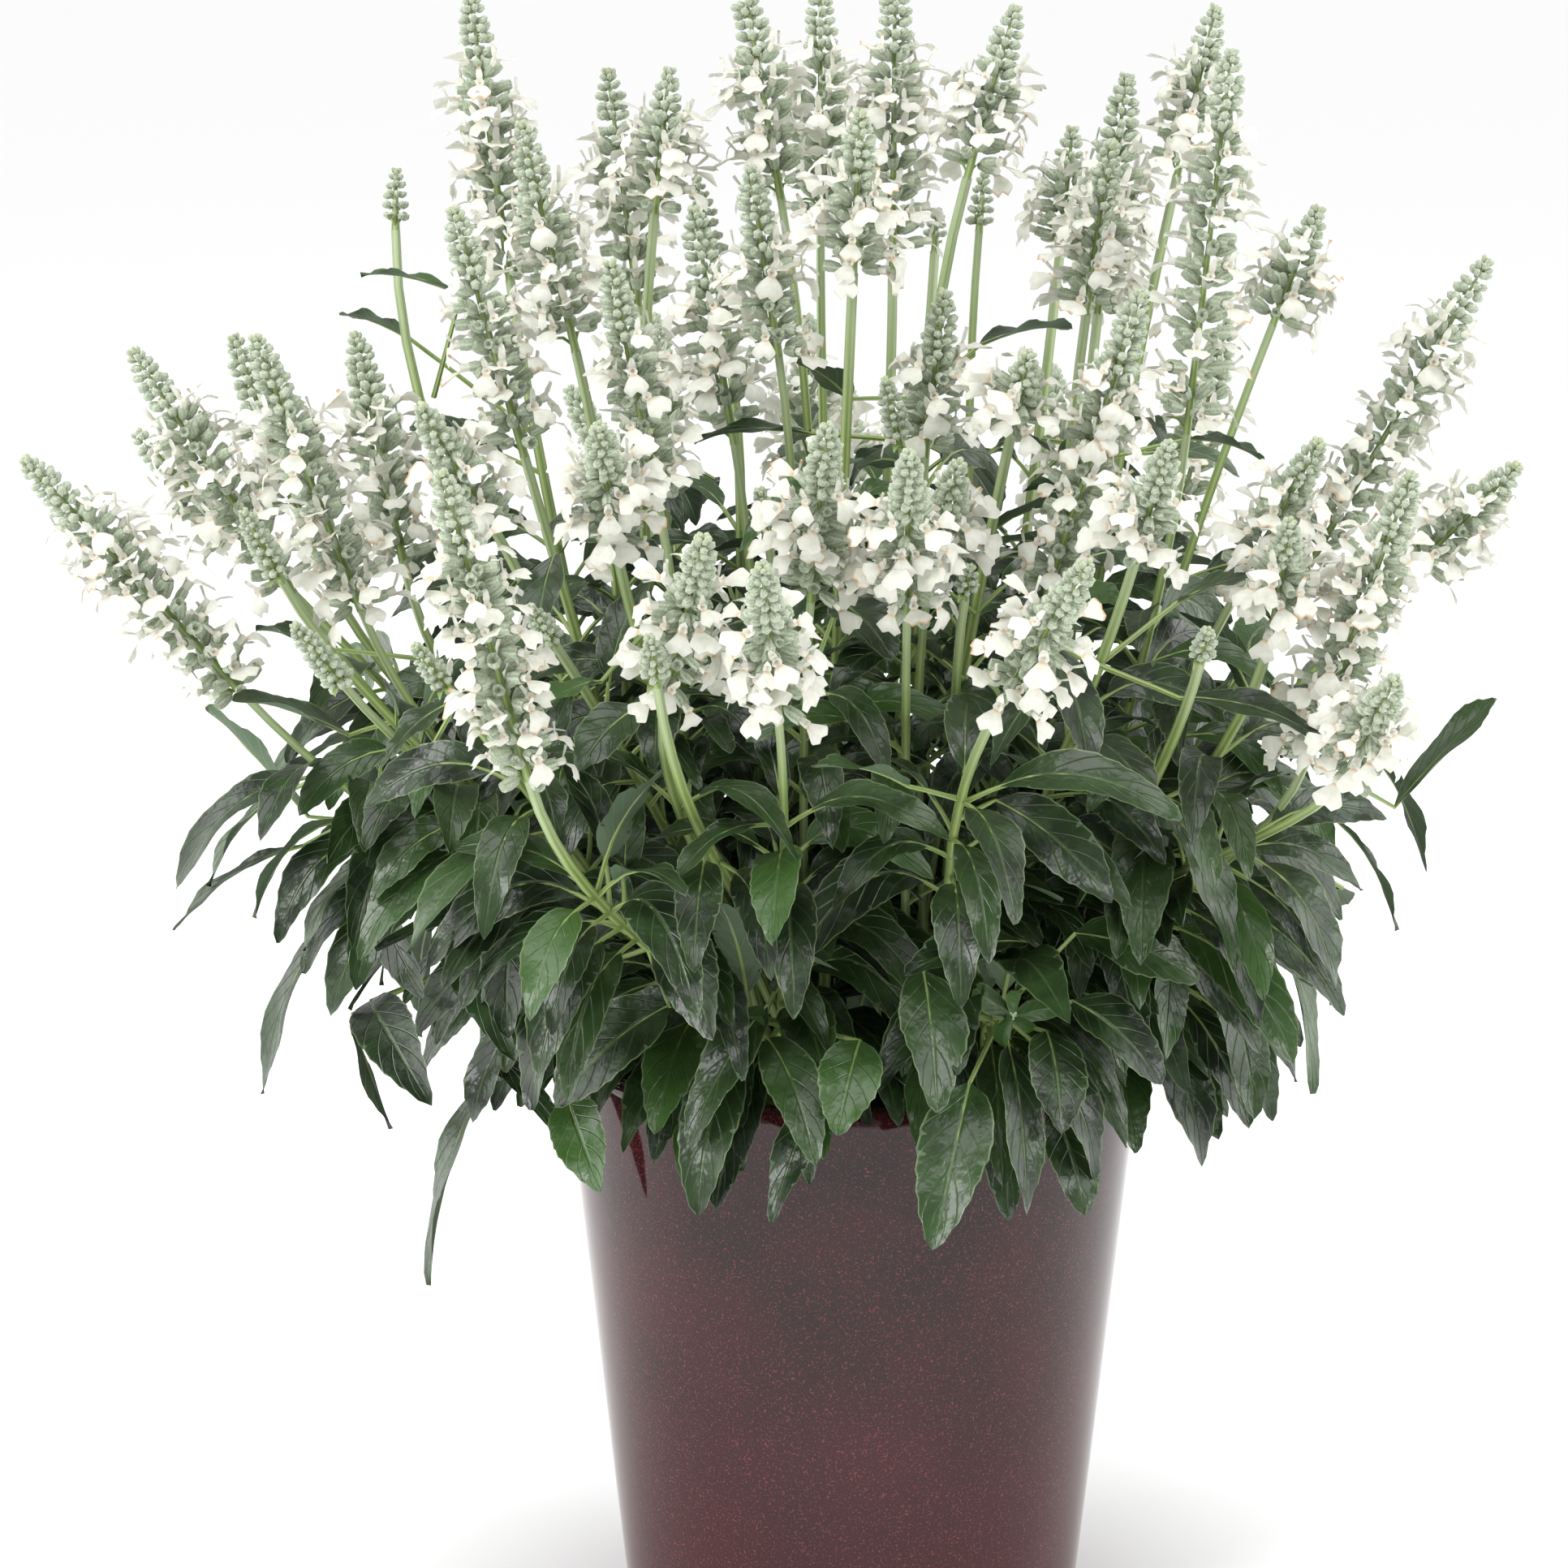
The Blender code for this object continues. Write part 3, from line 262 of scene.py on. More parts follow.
# Outer leaves on the elevation: blade's foot across and up, its tip across and up, its width
SKIRT_LEAVES = (
    (-155, -16, -182, -106, 26),
    (-165, -4, -126, -48, 12),
    (-215, 10, -198, -39, 14),
    (-225, 47, -253, -24, 18),
    (-235, 83, -291, 46, 12),
    (-222, 120, -251, 62, 18),
    (-243, 102, -269, 65, 18),
    (-233, 95, -277, 142, 24),
    (-207, 16, -181, -29, 24),
    (-212, 59, -191, 17, 22),
    (-175, 52, -153, -10, 22),
    (-143, 52, -148, 0, 22),
    (-122, 27, -138, -31, 24),
    (-79, 14, -128, -30, 32),
    (-122, -26, -108, -66, 22),
    (-110, 57, -92, 17, 28),
    (-78, 50, -60, -1, 25),
    (-37, 14, -71, -46, 20),
    (-14, -23, -35, -79, 16),
    (3, -1, -7, -42, 24),
    (30, 29, 36, -32, 28),
    (50, -19, 34, -91, 28),
    (74, 41, 22, 27, 22),
    (83, 3, 89, -41, 24),
    (86, -32, 99, -76, 22),
    (95, 45, 148, 24, 26),
    (94, 16, 132, -20, 28),
    (149, 27, 165, -34, 22),
    (132, 102, 164, 29, 26),
    (177, 55, 197, -24, 20),
    (191, 67, 205, 14, 16),
    (212, 110, 203, 57, 20),
    (207, 94, 233, 46, 12),
    (61, 102, 111, 58, 24),
    (87, 167, 102, 107, 20),
    (24, 108, -18, 116, 17),
    (-92, 142, -118, 114, 20),
    (-70, 110, -40, 74, 24),
    (-105, 81, -68, 61, 20),
    (-192, 77, -216, 52, 20),
    (-209, 97, -235, 82, 16),
    (-170, 97, -186, 64, 20),
)

# Leaves higher in the plant: blade's foot across, up, behind; its tip likewise; its width
UPPER_LEAVES = (
    ((-216, 130, -70), (-266, 145, -85), 26),
    ((-226, 167, -20), (-256, 175, -25), 20),
    ((-122, 208, -110), (-129, 170, -130), 26),
    ((-169, 145, -150), (-199, 120, -175), 14),
    ((-108, 153, -150), (-134, 140, -175), 16),
    ((-6, 187, -120), (17, 162, -160), 24),
    ((50, 196, -140), (76, 175, -175), 26),
    ((139, 187, -110), (174, 198, -125), 22),
    ((144, 257, -20), (176, 247, -25), 22),
    ((107, 177, -150), (134, 158, -180), 18),
    ((140, 146, -160), (200, 128, -185), 16),
    ((54, 297, 60), (94, 304, 70), 24),
    ((-1, 274, -30), (-24, 290, -45), 16),
    ((-14, 260, -20), (-64, 256, -35), 14),
    ((-168, 319, 30), (-211, 327, 35), 14),
    ((-190, 300, 62), (-220, 310, 50), 16),
    ((-186, 302, 58), (-166, 322, 70), 16),
    ((-150, 250, 60), (-190, 262, 90), 18),
    ((-60, 240, 100), (-80, 215, 150), 22),
    ((40, 250, 110), (62, 225, 160), 22),
    ((120, 250, 90), (160, 240, 130), 22),
)

# Slots of the pairs of leaves on the stems in turn, and the short leafy shoots round the rim
STEM_SLOTS = (10, None, None, 12, None)
SHOOT_SLOT = 17
SHOOTS = 9
SHOOT_TURN = 0.3
SHOOT_REACH = 168.0
SHOOT_TOP = 298.0
SHOOT_RISE = 0.15

# Inner leaves, which fill up the whorls that already hold a leaf, and how high these may stand
INNER_LEAVES = 60
INNER_TOP = 440.0


@dataclass
class Stem:
    """A stem's axis as the four control points of a cubic curve, and where on its crown it starts.

    Its places are the axis at each slot, and its leaves are kept by slot and face.
    """

    name: str
    crown: int
    socket: int
    controls: Array
    radius: float
    places: list = field(default_factory=list)
    leaves: dict = field(default_factory=dict)
    extra: list = field(default_factory=list)


@dataclass
class Leaf:
    """A leaf's midline: stalk's root, blade's foot, the arch's control point and the tip."""

    name: str
    stem: Stem
    slot: int
    face: int
    root: Array
    foot: Array
    arch: Array
    tip: Array
    width: float
    roll: float
    inner: bool = False

    def midline(self, shares: Array) -> Array:
        """Points of the blade's parabola from foot to tip."""
        t = shares[:, None]
        return (1 - t) ** 2 * self.foot + 2 * (1 - t) * t * self.arch + t**2 * self.tip

    def stalk_share(self, length: float, most: float) -> float:
        """The share of the stalk that a length from its root takes up, held to the most."""
        return min(length / np.linalg.norm(self.foot - self.root), most)


@dataclass
class Head:
    """A flower head's axis, from its foot on the stem to its tip."""

    name: str
    foot: Array
    tip: Array

    @property
    def length(self) -> float:
        """The head's length in millimetres."""
        return float(np.linalg.norm(self.tip - self.foot))

    @property
    def young(self) -> bool:
        """Whether the head is still in bud."""
        return self.name.startswith("bud")


def unit(vector: Array) -> Array:
    """The vector at length one."""
    return vector / np.linalg.norm(vector)


def unit_rows(vectors: Array) -> Array:
    """Each row at length one."""
    return vectors / np.linalg.norm(vectors, axis=1)[:, None]


def swung(angles: Array, first: Array, second: Array) -> Array:
    """The first direction turned towards the second by each angle: cosine and sine of it."""
    return np.cos(angles)[:, None] * first + np.sin(angles)[:, None] * second


def level_side(stem: Stem) -> Array:
    """The level direction across the plane that a stem rises in."""
    return unit(np.cross(stem.controls[3] - stem.controls[0], UP) + [1e-6, 0, 0])


def seen(across: float, up: float, behind: float) -> Array:
    """Finds where the eye's line of sight through a place on the elevation meets y = behind.

    Args:
        across: Millimetres right of the pot's axis on the elevation.
        up: Millimetres above the rim on the elevation.
        behind: The depth of the point, negative towards the eye.

    Returns:
        The point in space.
    """
    forward = np.array([0.0, math.cos(EYE_PITCH), -math.sin(EYE_PITCH)])
    upward = np.array([0.0, math.sin(EYE_PITCH), math.cos(EYE_PITCH)])
    eye = AIM - EYE_DISTANCE * forward
    ray = EYE_DISTANCE * forward + (up - AIM_UP) * upward
    ray[0] += across - AIM_ACROSS
    return eye + ray * (behind - eye[1]) / ray[1]


def turned(point: Array, degrees: float) -> Array:
    """The point turned round the pot's axis.

    Args:
        point: The point.
        degrees: The angle, counterclockwise from above.

    Returns:
        The turned point.
    """
    angle = math.radians(degrees)
    cos, sin = math.cos(angle), math.sin(angle)
    return np.array([cos * point[0] - sin * point[1], sin * point[0] + cos * point[1], point[2]])


def polar(reach: float, degrees: float, height: float) -> Array:
    """The point at a reach, a direction and a height."""
    return turned(np.array([reach, 0.0, height]), degrees)


def bezier(controls: Array, shares: Array) -> Array:
    """Points of the cubic curve, by Bernstein weights on its four controls.

    Args:
        controls: The four control points.
        shares: Shares of the curve.

    Returns:
        A point for each share.
    """
    t = np.asarray(shares)[:, None]
    a, b, c, d = controls
    return (1 - t) ** 3 * a + 3 * (1 - t) ** 2 * t * b + 3 * (1 - t) * t**2 * c + t**3 * d


def bezier_tangents(controls: Array, shares: Array) -> Array:
    """Unit slopes of the cubic curve at the given shares.

    Args:
        controls: The curve's four control points.
        shares: Shares of the curve.

    Returns:
        A direction for each share.
    """
    t = np.asarray(shares)[:, None]
    a, b, c, d = controls
    slope = 3 * (1 - t) ** 2 * (b - a) + 6 * (1 - t) * t * (c - b) + 3 * t**2 * (d - c)
    return unit_rows(slope)


def axis_points(controls: Array) -> Array:
    """Points close together along the stem's straight pieces.

    Args:
        controls: The four control points of the stem's axis.

    Returns:
        The points.
    """
    corners = bezier(controls, STEM_STATIONS)
    shares = np.linspace(0, 1, STEM_POINTS)
    return np.stack([np.interp(shares, STEM_STATIONS, column) for column in corners.T], 1)


def tree_of_points(points: list) -> KDTree:
    """A search tree of the points.

    Args:
        points: The points.

    Returns:
        The balanced tree.
    """
    tree = KDTree(len(points))
    for i, point in enumerate(points):
        tree.insert(point, i)
    tree.balance()
    return tree


def nearest_gap(points: Array, tree: KDTree) -> float:
    """The least distance from a row of points to those in the tree."""
    gaps = [tree.find(point)[2] for point in points]
    return math.inf if None in gaps else min(gaps)


def loft(rings: list, tip: Array | None = None) -> Solid:
    """Closes a solid through rings of equal count.

    Args:
        rings: Rings of points, each counterclockwise as seen from the end.
        tip: One end point in place of a cap.

    Returns:
        Points and triangles.
    """
    count = len(rings[0])
    verts = [p for ring in rings for p in ring]
    faces = [[0, i + 1, i] for i in range(1, count - 1)]
    for k in range(len(rings) - 1):
        for i in range(count):
            a, b = k * count + i, k * count + (i + 1) % count
            faces += [[a, b, b + count], [a, b + count, a + count]]
    last = (len(rings) - 1) * count
    if tip is None:
        faces += [[last, last + i, last + i + 1] for i in range(1, count - 1)]
    else:
        faces += [[last + i, last + (i + 1) % count, len(verts)] for i in range(count)]
        verts.append(tip)
    return np.array(verts), faces


def frame_round(tangent: Array, reference: Array) -> tuple[Array, Array]:
    """Two directions square to the tangent, the first as near the reference as can be."""
    side = unit(reference - tangent * tangent.dot(reference))
    return side, np.cross(tangent, side)


def tree_of(solid: Solid) -> tuple[BVHTree, Array, Array]:
    """A search tree of the solid's faces, with the corners of its box."""
    verts, faces = solid
    return BVHTree.FromPolygons([tuple(p) for p in verts], faces), verts.min(0), verts.max(0)


def crosses_itself(solid: Solid) -> bool:
    """Whether two faces cross that share no corner."""
    tree, _, _ = tree_of(solid)
    return any(not set(solid[1][i]) & set(solid[1][j]) for i, j in tree.overlap(tree))


class Crowd:
    """The solids that stand so far, which a new leaf must not touch."""

    def __init__(self) -> None:
        """Starts empty, with room for the boxes of a whole plant."""
        self.owners: list[str] = []
        self.trees: list[BVHTree] = []
        self.boxes = np.zeros((4000, 6))

    def add(self, owner: str, solid: Solid) -> None:
        """Adds a solid under its owner's name.

        Args:
            owner: The name of the stem, head or leaf.
            solid: Its solid.
        """
        tree, low, high = tree_of(solid)
        self.boxes[len(self.trees)] = [*low, *high]
        self.owners.append(owner)
        self.trees.append(tree)

    def touches(self, solid: Solid, *without: str) -> bool:
        """Tests a solid against all that stand, apart from those of some owners.

        Args:
            solid: The new solid.
            *without: Owners that don't count.

        Returns:
            Whether its faces meet any other.
        """
        tree, low, high = tree_of(solid)
        boxes = self.boxes[: len(self.trees)]
        near = (boxes[:, :3] <= high).all(1) & (boxes[:, 3:] >= low).all(1)
        return any(self.owners[i] not in without and tree.overlap(self.trees[i])
                   for i in np.flatnonzero(near))


class PlantPlan:
    """Where each stem, flower head and leaf stands, by the CAD part's rules."""

    def __init__(self) -> None:
        """Plans the crowns, the heads, the stems under them and then every leaf."""
        self.crowns = self._crown_places()
        self.heads = self._head_axes()
        self.stems = self._stem_axes()
        self.crowd = Crowd()
        self._place_leaves()
        self.shown = len(self.heads) - len(BUDS) - len(REAR_HEADS)

    @staticmethod
    def _crown_places() -> Array:
        """The middle of each crown at the soil's surface: a small ring inside a larger one.

        Returns:
            A row for each crown.
        """
        inner = [polar(INNER_CROWN_REACH, INNER_CROWN_TURN + 360 / INNER_CROWNS * i, SOIL_TOP)
                 for i in range(INNER_CROWNS)]
        outer = [polar(OUTER_CROWN_REACH, OUTER_CROWN_TURN + 360 / OUTER_CROWNS * i, SOIL_TOP)
                 for i in range(OUTER_CROWNS)]
        return np.array(inner + outer)

    @staticmethod
    def _head_axes() -> list[Head]:
        """The flower heads, with the young and the rear ones last.

        Returns:
            The heads.
        """
        heads = [Head(f"head_{i + 1:02d}", seen(*foot), seen(*tip))
                 for i, (tip, foot) in enumerate(HEADS)]
        heads += [Head(f"bud_{i + 1:02d}", seen(*foot), seen(*tip))
                  for i, (tip, foot) in enumerate(BUDS)]
        return heads + [Head(f"rear_{i + 1:02d}", turned(heads[i].foot, turn),
                             turned(heads[i].tip, turn)) for i, turn in REAR_HEADS]

    def _stem_axes(self) -> list[Stem]:
        """A stem under each head, clear of the others, and then the leafy shoots.

        Returns:
            The stems.
        """
        shares = np.linspace(0, 1, HEAD_POINTS)[:, None]
        axes = [h.foot + (h.tip - h.foot) * shares for h in self.heads]
        stems: list[Stem] = []
        for i, head in enumerate(self.heads):
            direction = unit(head.tip - head.foot)
            end = head.foot - GAP * direction if head.name.startswith("head") else head.foot
            stems.append(self._plan_stem(head.name, stems, axes, end, direction, STEM_RADIUS, i))
        for i in range(SHOOTS):
            degrees = 360.0 / SHOOTS * (i + SHOOT_TURN)
            end = polar(SHOOT_REACH, degrees, SHOOT_TOP)
            direction = unit(polar(1.0, degrees, SHOOT_RISE))
            stems.append(self._plan_stem(f"shoot_{i + 1:02d}", stems, axes, end, direction,
                                         SHOOT_RADIUS, -1))
        for stem in stems:
            stem.places = [stem_place(stem, slot * SLOT_STEP) for slot in range(LAST_SLOT + 1)]
        return stems

    def _plan_stem(self, name: str, stems: list[Stem], heads: list, foot: Array,
                   direction: Array, radius: float, own_head: int) -> Stem:
        """Takes the first choice of axis that stays clear of every other stem, crown and head.

        Args:
            name: The stem's name.
            stems: The stems that stand already.
            heads: Rows of points along the flower heads.
            foot: Where the stem ends.
            direction: The way it points there.
            radius: Its radius at the crown.
            own_head: The number of the head that it carries.

        Returns:
            The stem.
        """
        spread = np.linalg.norm(foot[:2])
        aim = foot[:2] * (CROWN_AIM_SHARE if spread < CROWN_AIM_REACH
                          else CROWN_AIM_REACH / spread)
        order = np.argsort(np.linalg.norm(self.crowns[:, :2] - aim, axis=1))
        stems_tree = tree_of_points([p for s in stems for p in axis_points(s.controls)])
        heads_tree = tree_of_points([p for i, h in enumerate(heads) if i != own_head for p in h])
        taken = {(s.crown, s.socket) for s in stems}
        best: tuple = (-math.inf,)
        for crown in order[:NEAREST_CROWNS]:
            place = self.crowns[crown]
            starts = [(np.linalg.norm((foot - socket_place(place, k))[:2]), k)
                      for k in range(SHOULDER_SOCKETS + CAP_SOCKETS) if (crown, k) not in taken]
            for _, socket in sorted(starts)[:NEAREST_SOCKETS]:
                for controls in stem_choices(socket_place(place, socket), foot, direction):
                    room = self._spare_room(axis_points(controls), crown, stems_tree, heads_tree)
                    stem = Stem(name, int(crown), socket, controls, radius)
                    if room >= 0 and not crosses_itself(rooted_solid(place, stem)):
                        return stem
                    if room > best[0]:
                        best = (room, stem)
        log.info("%s comes %.1f mm too near something", name, -best[0])
        return best[1]

    def _spare_room(self, points: Array, crown: int, stems_tree: KDTree,
                    heads_tree: KDTree) -> float:
        """How far the axis stays outside the room of its neighbours, at its tightest point.

        Args:
            points: Points along the axis.
            crown: The number of the crown that it starts from.
            stems_tree: The other stems.
            heads_tree: The flower heads.

        Returns:
            The spare room in millimetres, negative where it comes too near.
        """
        gaps = [nearest_gap(points, stems_tree) - STEM_CLEAR,
                nearest_gap(points, heads_tree) - STEM_TO_HEAD]
        spread = np.linalg.norm(points[:, :2], axis=1)
        inside = points[:, 2] < RIM_CLEAR
        if inside.any():
            gaps.append(INSIDE_REACH - spread[inside].max())
        over = np.abs(spread - POT_TOP_RADIUS) < 1.5 * POT_WALL
        if over.any():
            gaps.append(points[over, 2].min() - POT_HEIGHT - STEM_CLEAR)
        low = points[points[:, 2] < SOIL_TOP + CROWN_PROFILE[-1][1] + STEM_RADIUS, :2]
        for i, place in enumerate(self.crowns):
            if i != crown and len(low):
                gaps.append(np.linalg.norm(low - place[:2], axis=1).min() - CROWN_CLEAR)
        return min(gaps)

    def _place_leaves(self) -> None:
        """Keeps every leaf with its stem: the CAD part's own, and then a thicker fill."""
        self.crowd.add("pot", pot_proxy())
        for stem in self.stems:
            self.crowd.add(stem.name, stem_solid(stem))
        for head in self.heads:
            self.crowd.add(head.name, head_solid(head))
        for head in self.heads:
            flowers = 0 if head.young else round(head.length / FLOWER_STEP)
            while self.crowd.touches(head_solid(head, flowers), head.name) and flowers:
                flowers -= 1
            self.crowd.add(head.name, head_solid(head, flowers))
        for name, foot, tip, width in self._drawn_leaves():
            self._keep(self._hang_leaf(name, foot, tip, width))
        for i, stem in enumerate(self.stems):
            shoot = stem.name.startswith("shoot")
            slot = SHOOT_SLOT if shoot else STEM_SLOTS[i % len(STEM_SLOTS)]
            if slot is None or stem.places[slot][0][2] < RIM_CLEAR:
                continue
            for face in ((0, 2) if i % 2 else (1, 3)):
                if (slot, face) not in stem.leaves:
                    self._keep(self._stem_leaf(f"{stem.name} {slot} {face}", stem, slot, face))
        self._place_inner_leaves()
        self._fill()

    def _place_inner_leaves(self) -> None:
        """Fills up whorls that hold a leaf already, as far as the CAD part does."""
        bare = [(stem, slot, face) for stem in self.stems
                for slot in sorted({s for s, _ in stem.leaves})
                for face in range(4) if (slot, face) not in stem.leaves]
        random.Random("whorls").shuffle(bare)
        missing = INNER_LEAVES
        for stem, slot, face in bare:
            if missing and RIM_CLEAR < stem.places[slot][0][2] < INNER_TOP:
                name = f"inner {stem.name} {slot} {face}"
                missing -= self._keep(self._stem_leaf(name, stem, slot, face, inner=True))

    def _keep(self, leaf: Leaf | None, extra: bool = False) -> bool:
        """Keeps a leaf with its stem and in the crowd, and says whether there is one.

        Args:
            leaf: The leaf, if one was found.
            extra: Whether only the scene has it.

        Returns:
            Whether there is a leaf.
        """
        if leaf is None:
            return False
        if extra:
            leaf.stem.extra.append(leaf)
        else:
            leaf.stem.leaves[(leaf.slot, leaf.face)] = leaf
        self.crowd.add(leaf.name, leaf_solid(leaf, 0.0, leaf.stalk_share(*NEAR_ROOT)))
        return True

    def _fill(self) -> None:
        """Adds leaf pairs at the nodes that the CAD part leaves bare, smaller up the stem."""
        for stem in self.stems:
            length = np.linalg.norm(stem.controls[3] - stem.controls[0])
            every = max(round(NODE_STEP / (SLOT_STEP * length)), 1)
            last = LAST_SLOT if stem.name.startswith("shoot") else BARE_FROM
            first = FIRST_NODE + sum(map(ord, stem.name)) % every
            for turn, slot in enumerate(range(FIRST_NODE, last + 1)):
                height = stem.places[slot][0][2]
                if height < FILL_FROM or height > DENSE_TOP and (slot - first) % every:
                    continue
                fade = min(max((height - FULL_LEAVES) / FADE_HEIGHT, 0.0), 1.0)
                scale = 1.0 - FADE_SHARE * fade
                faces = (0, 2) if turn % 2 else (1, 3)
                if height < THICK_TOP and abs(stem.controls[3][0]) > THICK_FROM:
                    faces = (0, 1, 2, 3)
                for face in faces:
                    if (slot, face) not in stem.leaves:
                        name = f"fill {stem.name} {slot} {face}"
                        self._keep(self._stem_leaf(name, stem, slot, face, scale), extra=True)

    def _drawn_leaves(self) -> Iterator[tuple]:
        """The leaves placed on the elevation, and the skirt's rear: name, foot, tip, width.

        Yields:
            Each leaf's name, foot, tip and width.
        """
        for i, (foot_x, foot_up, tip_x, tip_up, width) in enumerate(SKIRT_LEAVES):
            rng = random.Random(f"skirt {i}")
            reach = SKIRT_REACH + rng.uniform(-SKIRT_SPREAD, SKIRT_SPREAD)
            foot = seen(foot_x, foot_up, skirt_depth(foot_x, reach - SKIRT_FOOT))
            tip = seen(tip_x, tip_up, skirt_depth(tip_x, reach))
            yield f"skirt_{i + 1:02d}", foot, tip, width
            if i % 4:
                turn = 180 + rng.uniform(-BACK_TURN, BACK_TURN)
                yield f"back_{i + 1:02d}", turned(foot, turn), turned(tip, turn), width
        for i, (foot, tip, width) in enumerate(UPPER_LEAVES):
            yield f"upper_{i + 1:02d}", seen(*foot), seen(*tip), width

    def _hang_leaf(self, name: str, foot: Array, tip: Array, width: float) -> Leaf | None:
        """The drawn leaf on the nearest stem from which its stalk and blade touch nothing.

        Args:
            name: The leaf's name.
            foot: The blade's foot.
            tip: The blade's tip.
            width: The blade's width.

        Returns:
            The leaf, if a stem has room for it.
        """
        rng = random.Random(name)
        chord = np.linalg.norm(tip - foot)
        outward = unit(foot * LEVEL)
        options = []
        for number, stem in enumerate(self.stems):
            for slot in range(FIRST_SLOT, LAST_SLOT):
                point, _, sides, _ = stem.places[slot]
                reach = foot - point
                gap = np.linalg.norm(reach)
                if point[2] < RIM_CLEAR or gap > LONGEST_STALK or gap < SHORTEST_STALK:
                    continue
                for face, out in enumerate(sides):
                    if out.dot(reach) > FACE_SHARE * gap and (slot, face) not in stem.leaves:
                        options.append((gap, number, slot, face))
        for _, number, slot, face in sorted(options)[:NEAREST_ROOTS]:
            root = leaf_root(self.stems[number], slot, face)
            for shift in (0 * outward, LEAF_SHIFT * outward, -LEAF_SHIFT * outward):
                arch = 0.5 * (foot + tip) + HUNG_ARCH * chord * (UP + HUNG_OUT * outward)
                leaf = Leaf(name, self.stems[number], slot, face, root, foot + shift, arch + shift,
                            tip + shift, width, rng.uniform(-HUNG_ROLL, HUNG_ROLL))
                if self._fits(leaf):
                    return leaf
        return None

    def _stem_leaf(self, name: str, stem: Stem, slot: int, face: int, scale: float = 1.0,
                   inner: bool = False) -> Leaf | None:
        """A leaf that grows from its stem by the rule: out to one side, then down in an arch.

        Args:
            name: The leaf's name.
            stem: Its stem.
            slot: Its place along the stem.
            face: The stem's face that it grows from.
            scale: Its size.
            inner: Whether it is one of the plainer inner leaves.

        Returns:
            The first try that touches nothing, if any.
        """
        rng = random.Random(name)
        _, tangent, sides, _ = stem.places[slot]
        out = sides[face]
        root = leaf_root(stem, slot, face)
        outwards, onwards, upwards = LEAF_LEAVES
        for attempt in range(LEAF_TRIES):
            swing = np.cross(tangent, out) * rng.uniform(-LEAF_SWING, LEAF_SWING) * (1 + attempt)
            leave = unit(outwards * out + onwards * tangent + upwards * UP + swing)
            length = rng.uniform(*LEAF_LENGTHS) * (1.0 - LEAF_SHRINK * attempt) * scale
            if out.dot(unit(root * LEVEL)) < INWARD:
                length *= INWARD_SHARE
            foot = root + leave * rng.uniform(*STALK_LENGTHS)
            fall = unit(leave - UP * rng.uniform(*LEAF_FALLS))
            leaf = Leaf(name, stem, slot, face, root, foot, foot + 0.5 * length * leave,
                        foot + length * fall, length * rng.uniform(*LEAF_SHARES),
                        rng.uniform(-LEAF_ROLL, LEAF_ROLL), inner)
            if name.startswith("fill"):
                leaf.roll += front_roll(root)
            if self._fits(leaf):
                return leaf
        return None

    def _fits(self, leaf: Leaf) -> bool:
        """Whether the leaf touches nothing: near its root, its own stem doesn't count.

        Args:
            leaf: The leaf.

        Returns:
            Whether it may stand.
        """
        clear = INNER_CLEAR if leaf.inner else LEAF_CLEAR
        own_clear = leaf_solid(leaf, 0.5 * clear, leaf.stalk_share(*NEAR_STEM))
        full = leaf_solid(leaf, clear, leaf.stalk_share(*NEAR_ROOT))
        if self.crowd.touches(full, leaf.stem.name) or self.crowd.touches(own_clear):
            return False
        return not crosses_itself(leaf_solid(leaf))


def socket_face(socket: int) -> tuple[int, int]:
    """The side and the band of the crown's face at a socket, with the shoulder's sockets first."""
    if socket < SHOULDER_SOCKETS:
        return socket, SHOULDER_BAND
    return (socket - SHOULDER_SOCKETS) * CROWN_SIDES // CAP_SOCKETS, CAP_BAND


def socket_place(crown: Array, socket: int) -> Array:
    """Where a stem starts, just off one of the crown's faces.

    Args:
        crown: The crown's middle.
        socket: The socket's number.

    Returns:
        The stem's first point.
    """
    side, band = socket_face(socket)
    lower, upper = CROWN_PROFILE[band], CROWN_PROFILE[band + 1]
    out = polar(1.0, 360 / CROWN_SIDES * (side + 0.5), 0.0)
    reach = 0.5 * (lower[0] + upper[0]) * math.cos(math.pi / CROWN_SIDES)
    face = crown + reach * out + [0, 0, 0.5 * (lower[1] + upper[1])]
    return face + STEM_OUT * unit((out if band == SHOULDER_BAND else 0.2 * out) + UP)


def stem_choices(start: Array, foot: Array, direction: Array) -> Iterator[Array]:
    """Likely axes of one stem, from the plainest on: each leaves the crown a little differently.

    Args:
        start: The stem's first point.
        foot: Its last point.
        direction: The way it points there.

    Yields:
        The four control points of an axis.
    """
    reach = foot - start
    length = np.linalg.norm(reach)
    side = unit(np.cross(reach, UP) + 1e-6)
    for hold, sway, lift in product(STEM_HOLDS, STEM_SWAYS, STEM_LIFTS):
        leave = start + STEM_LEAVES * length * unit(unit(reach) + lift * UP + sway * side)
        yield np.array([start, leave, foot - hold * length * direction, foot])


def stem_place(stem: Stem, share: float) -> tuple:
    """The stem's axis point, tangent, four sides and radius at a share of its length.

    Args:
        stem: The stem.
        share: The share of its length.

    Returns:
        The four in this order.
    """
    points = bezier(stem.controls, STEM_STATIONS)
    point = np.array([np.interp(share, STEM_STATIONS, column) for column in points.T])
    tangent = bezier_tangents(stem.controls, [share])[0]
    side, rise = frame_round(tangent, level_side(stem))
    radius = stem.radius + share * (STEM_TIP_RADIUS - stem.radius)
    return point, tangent, (side, rise, -side, -rise), radius


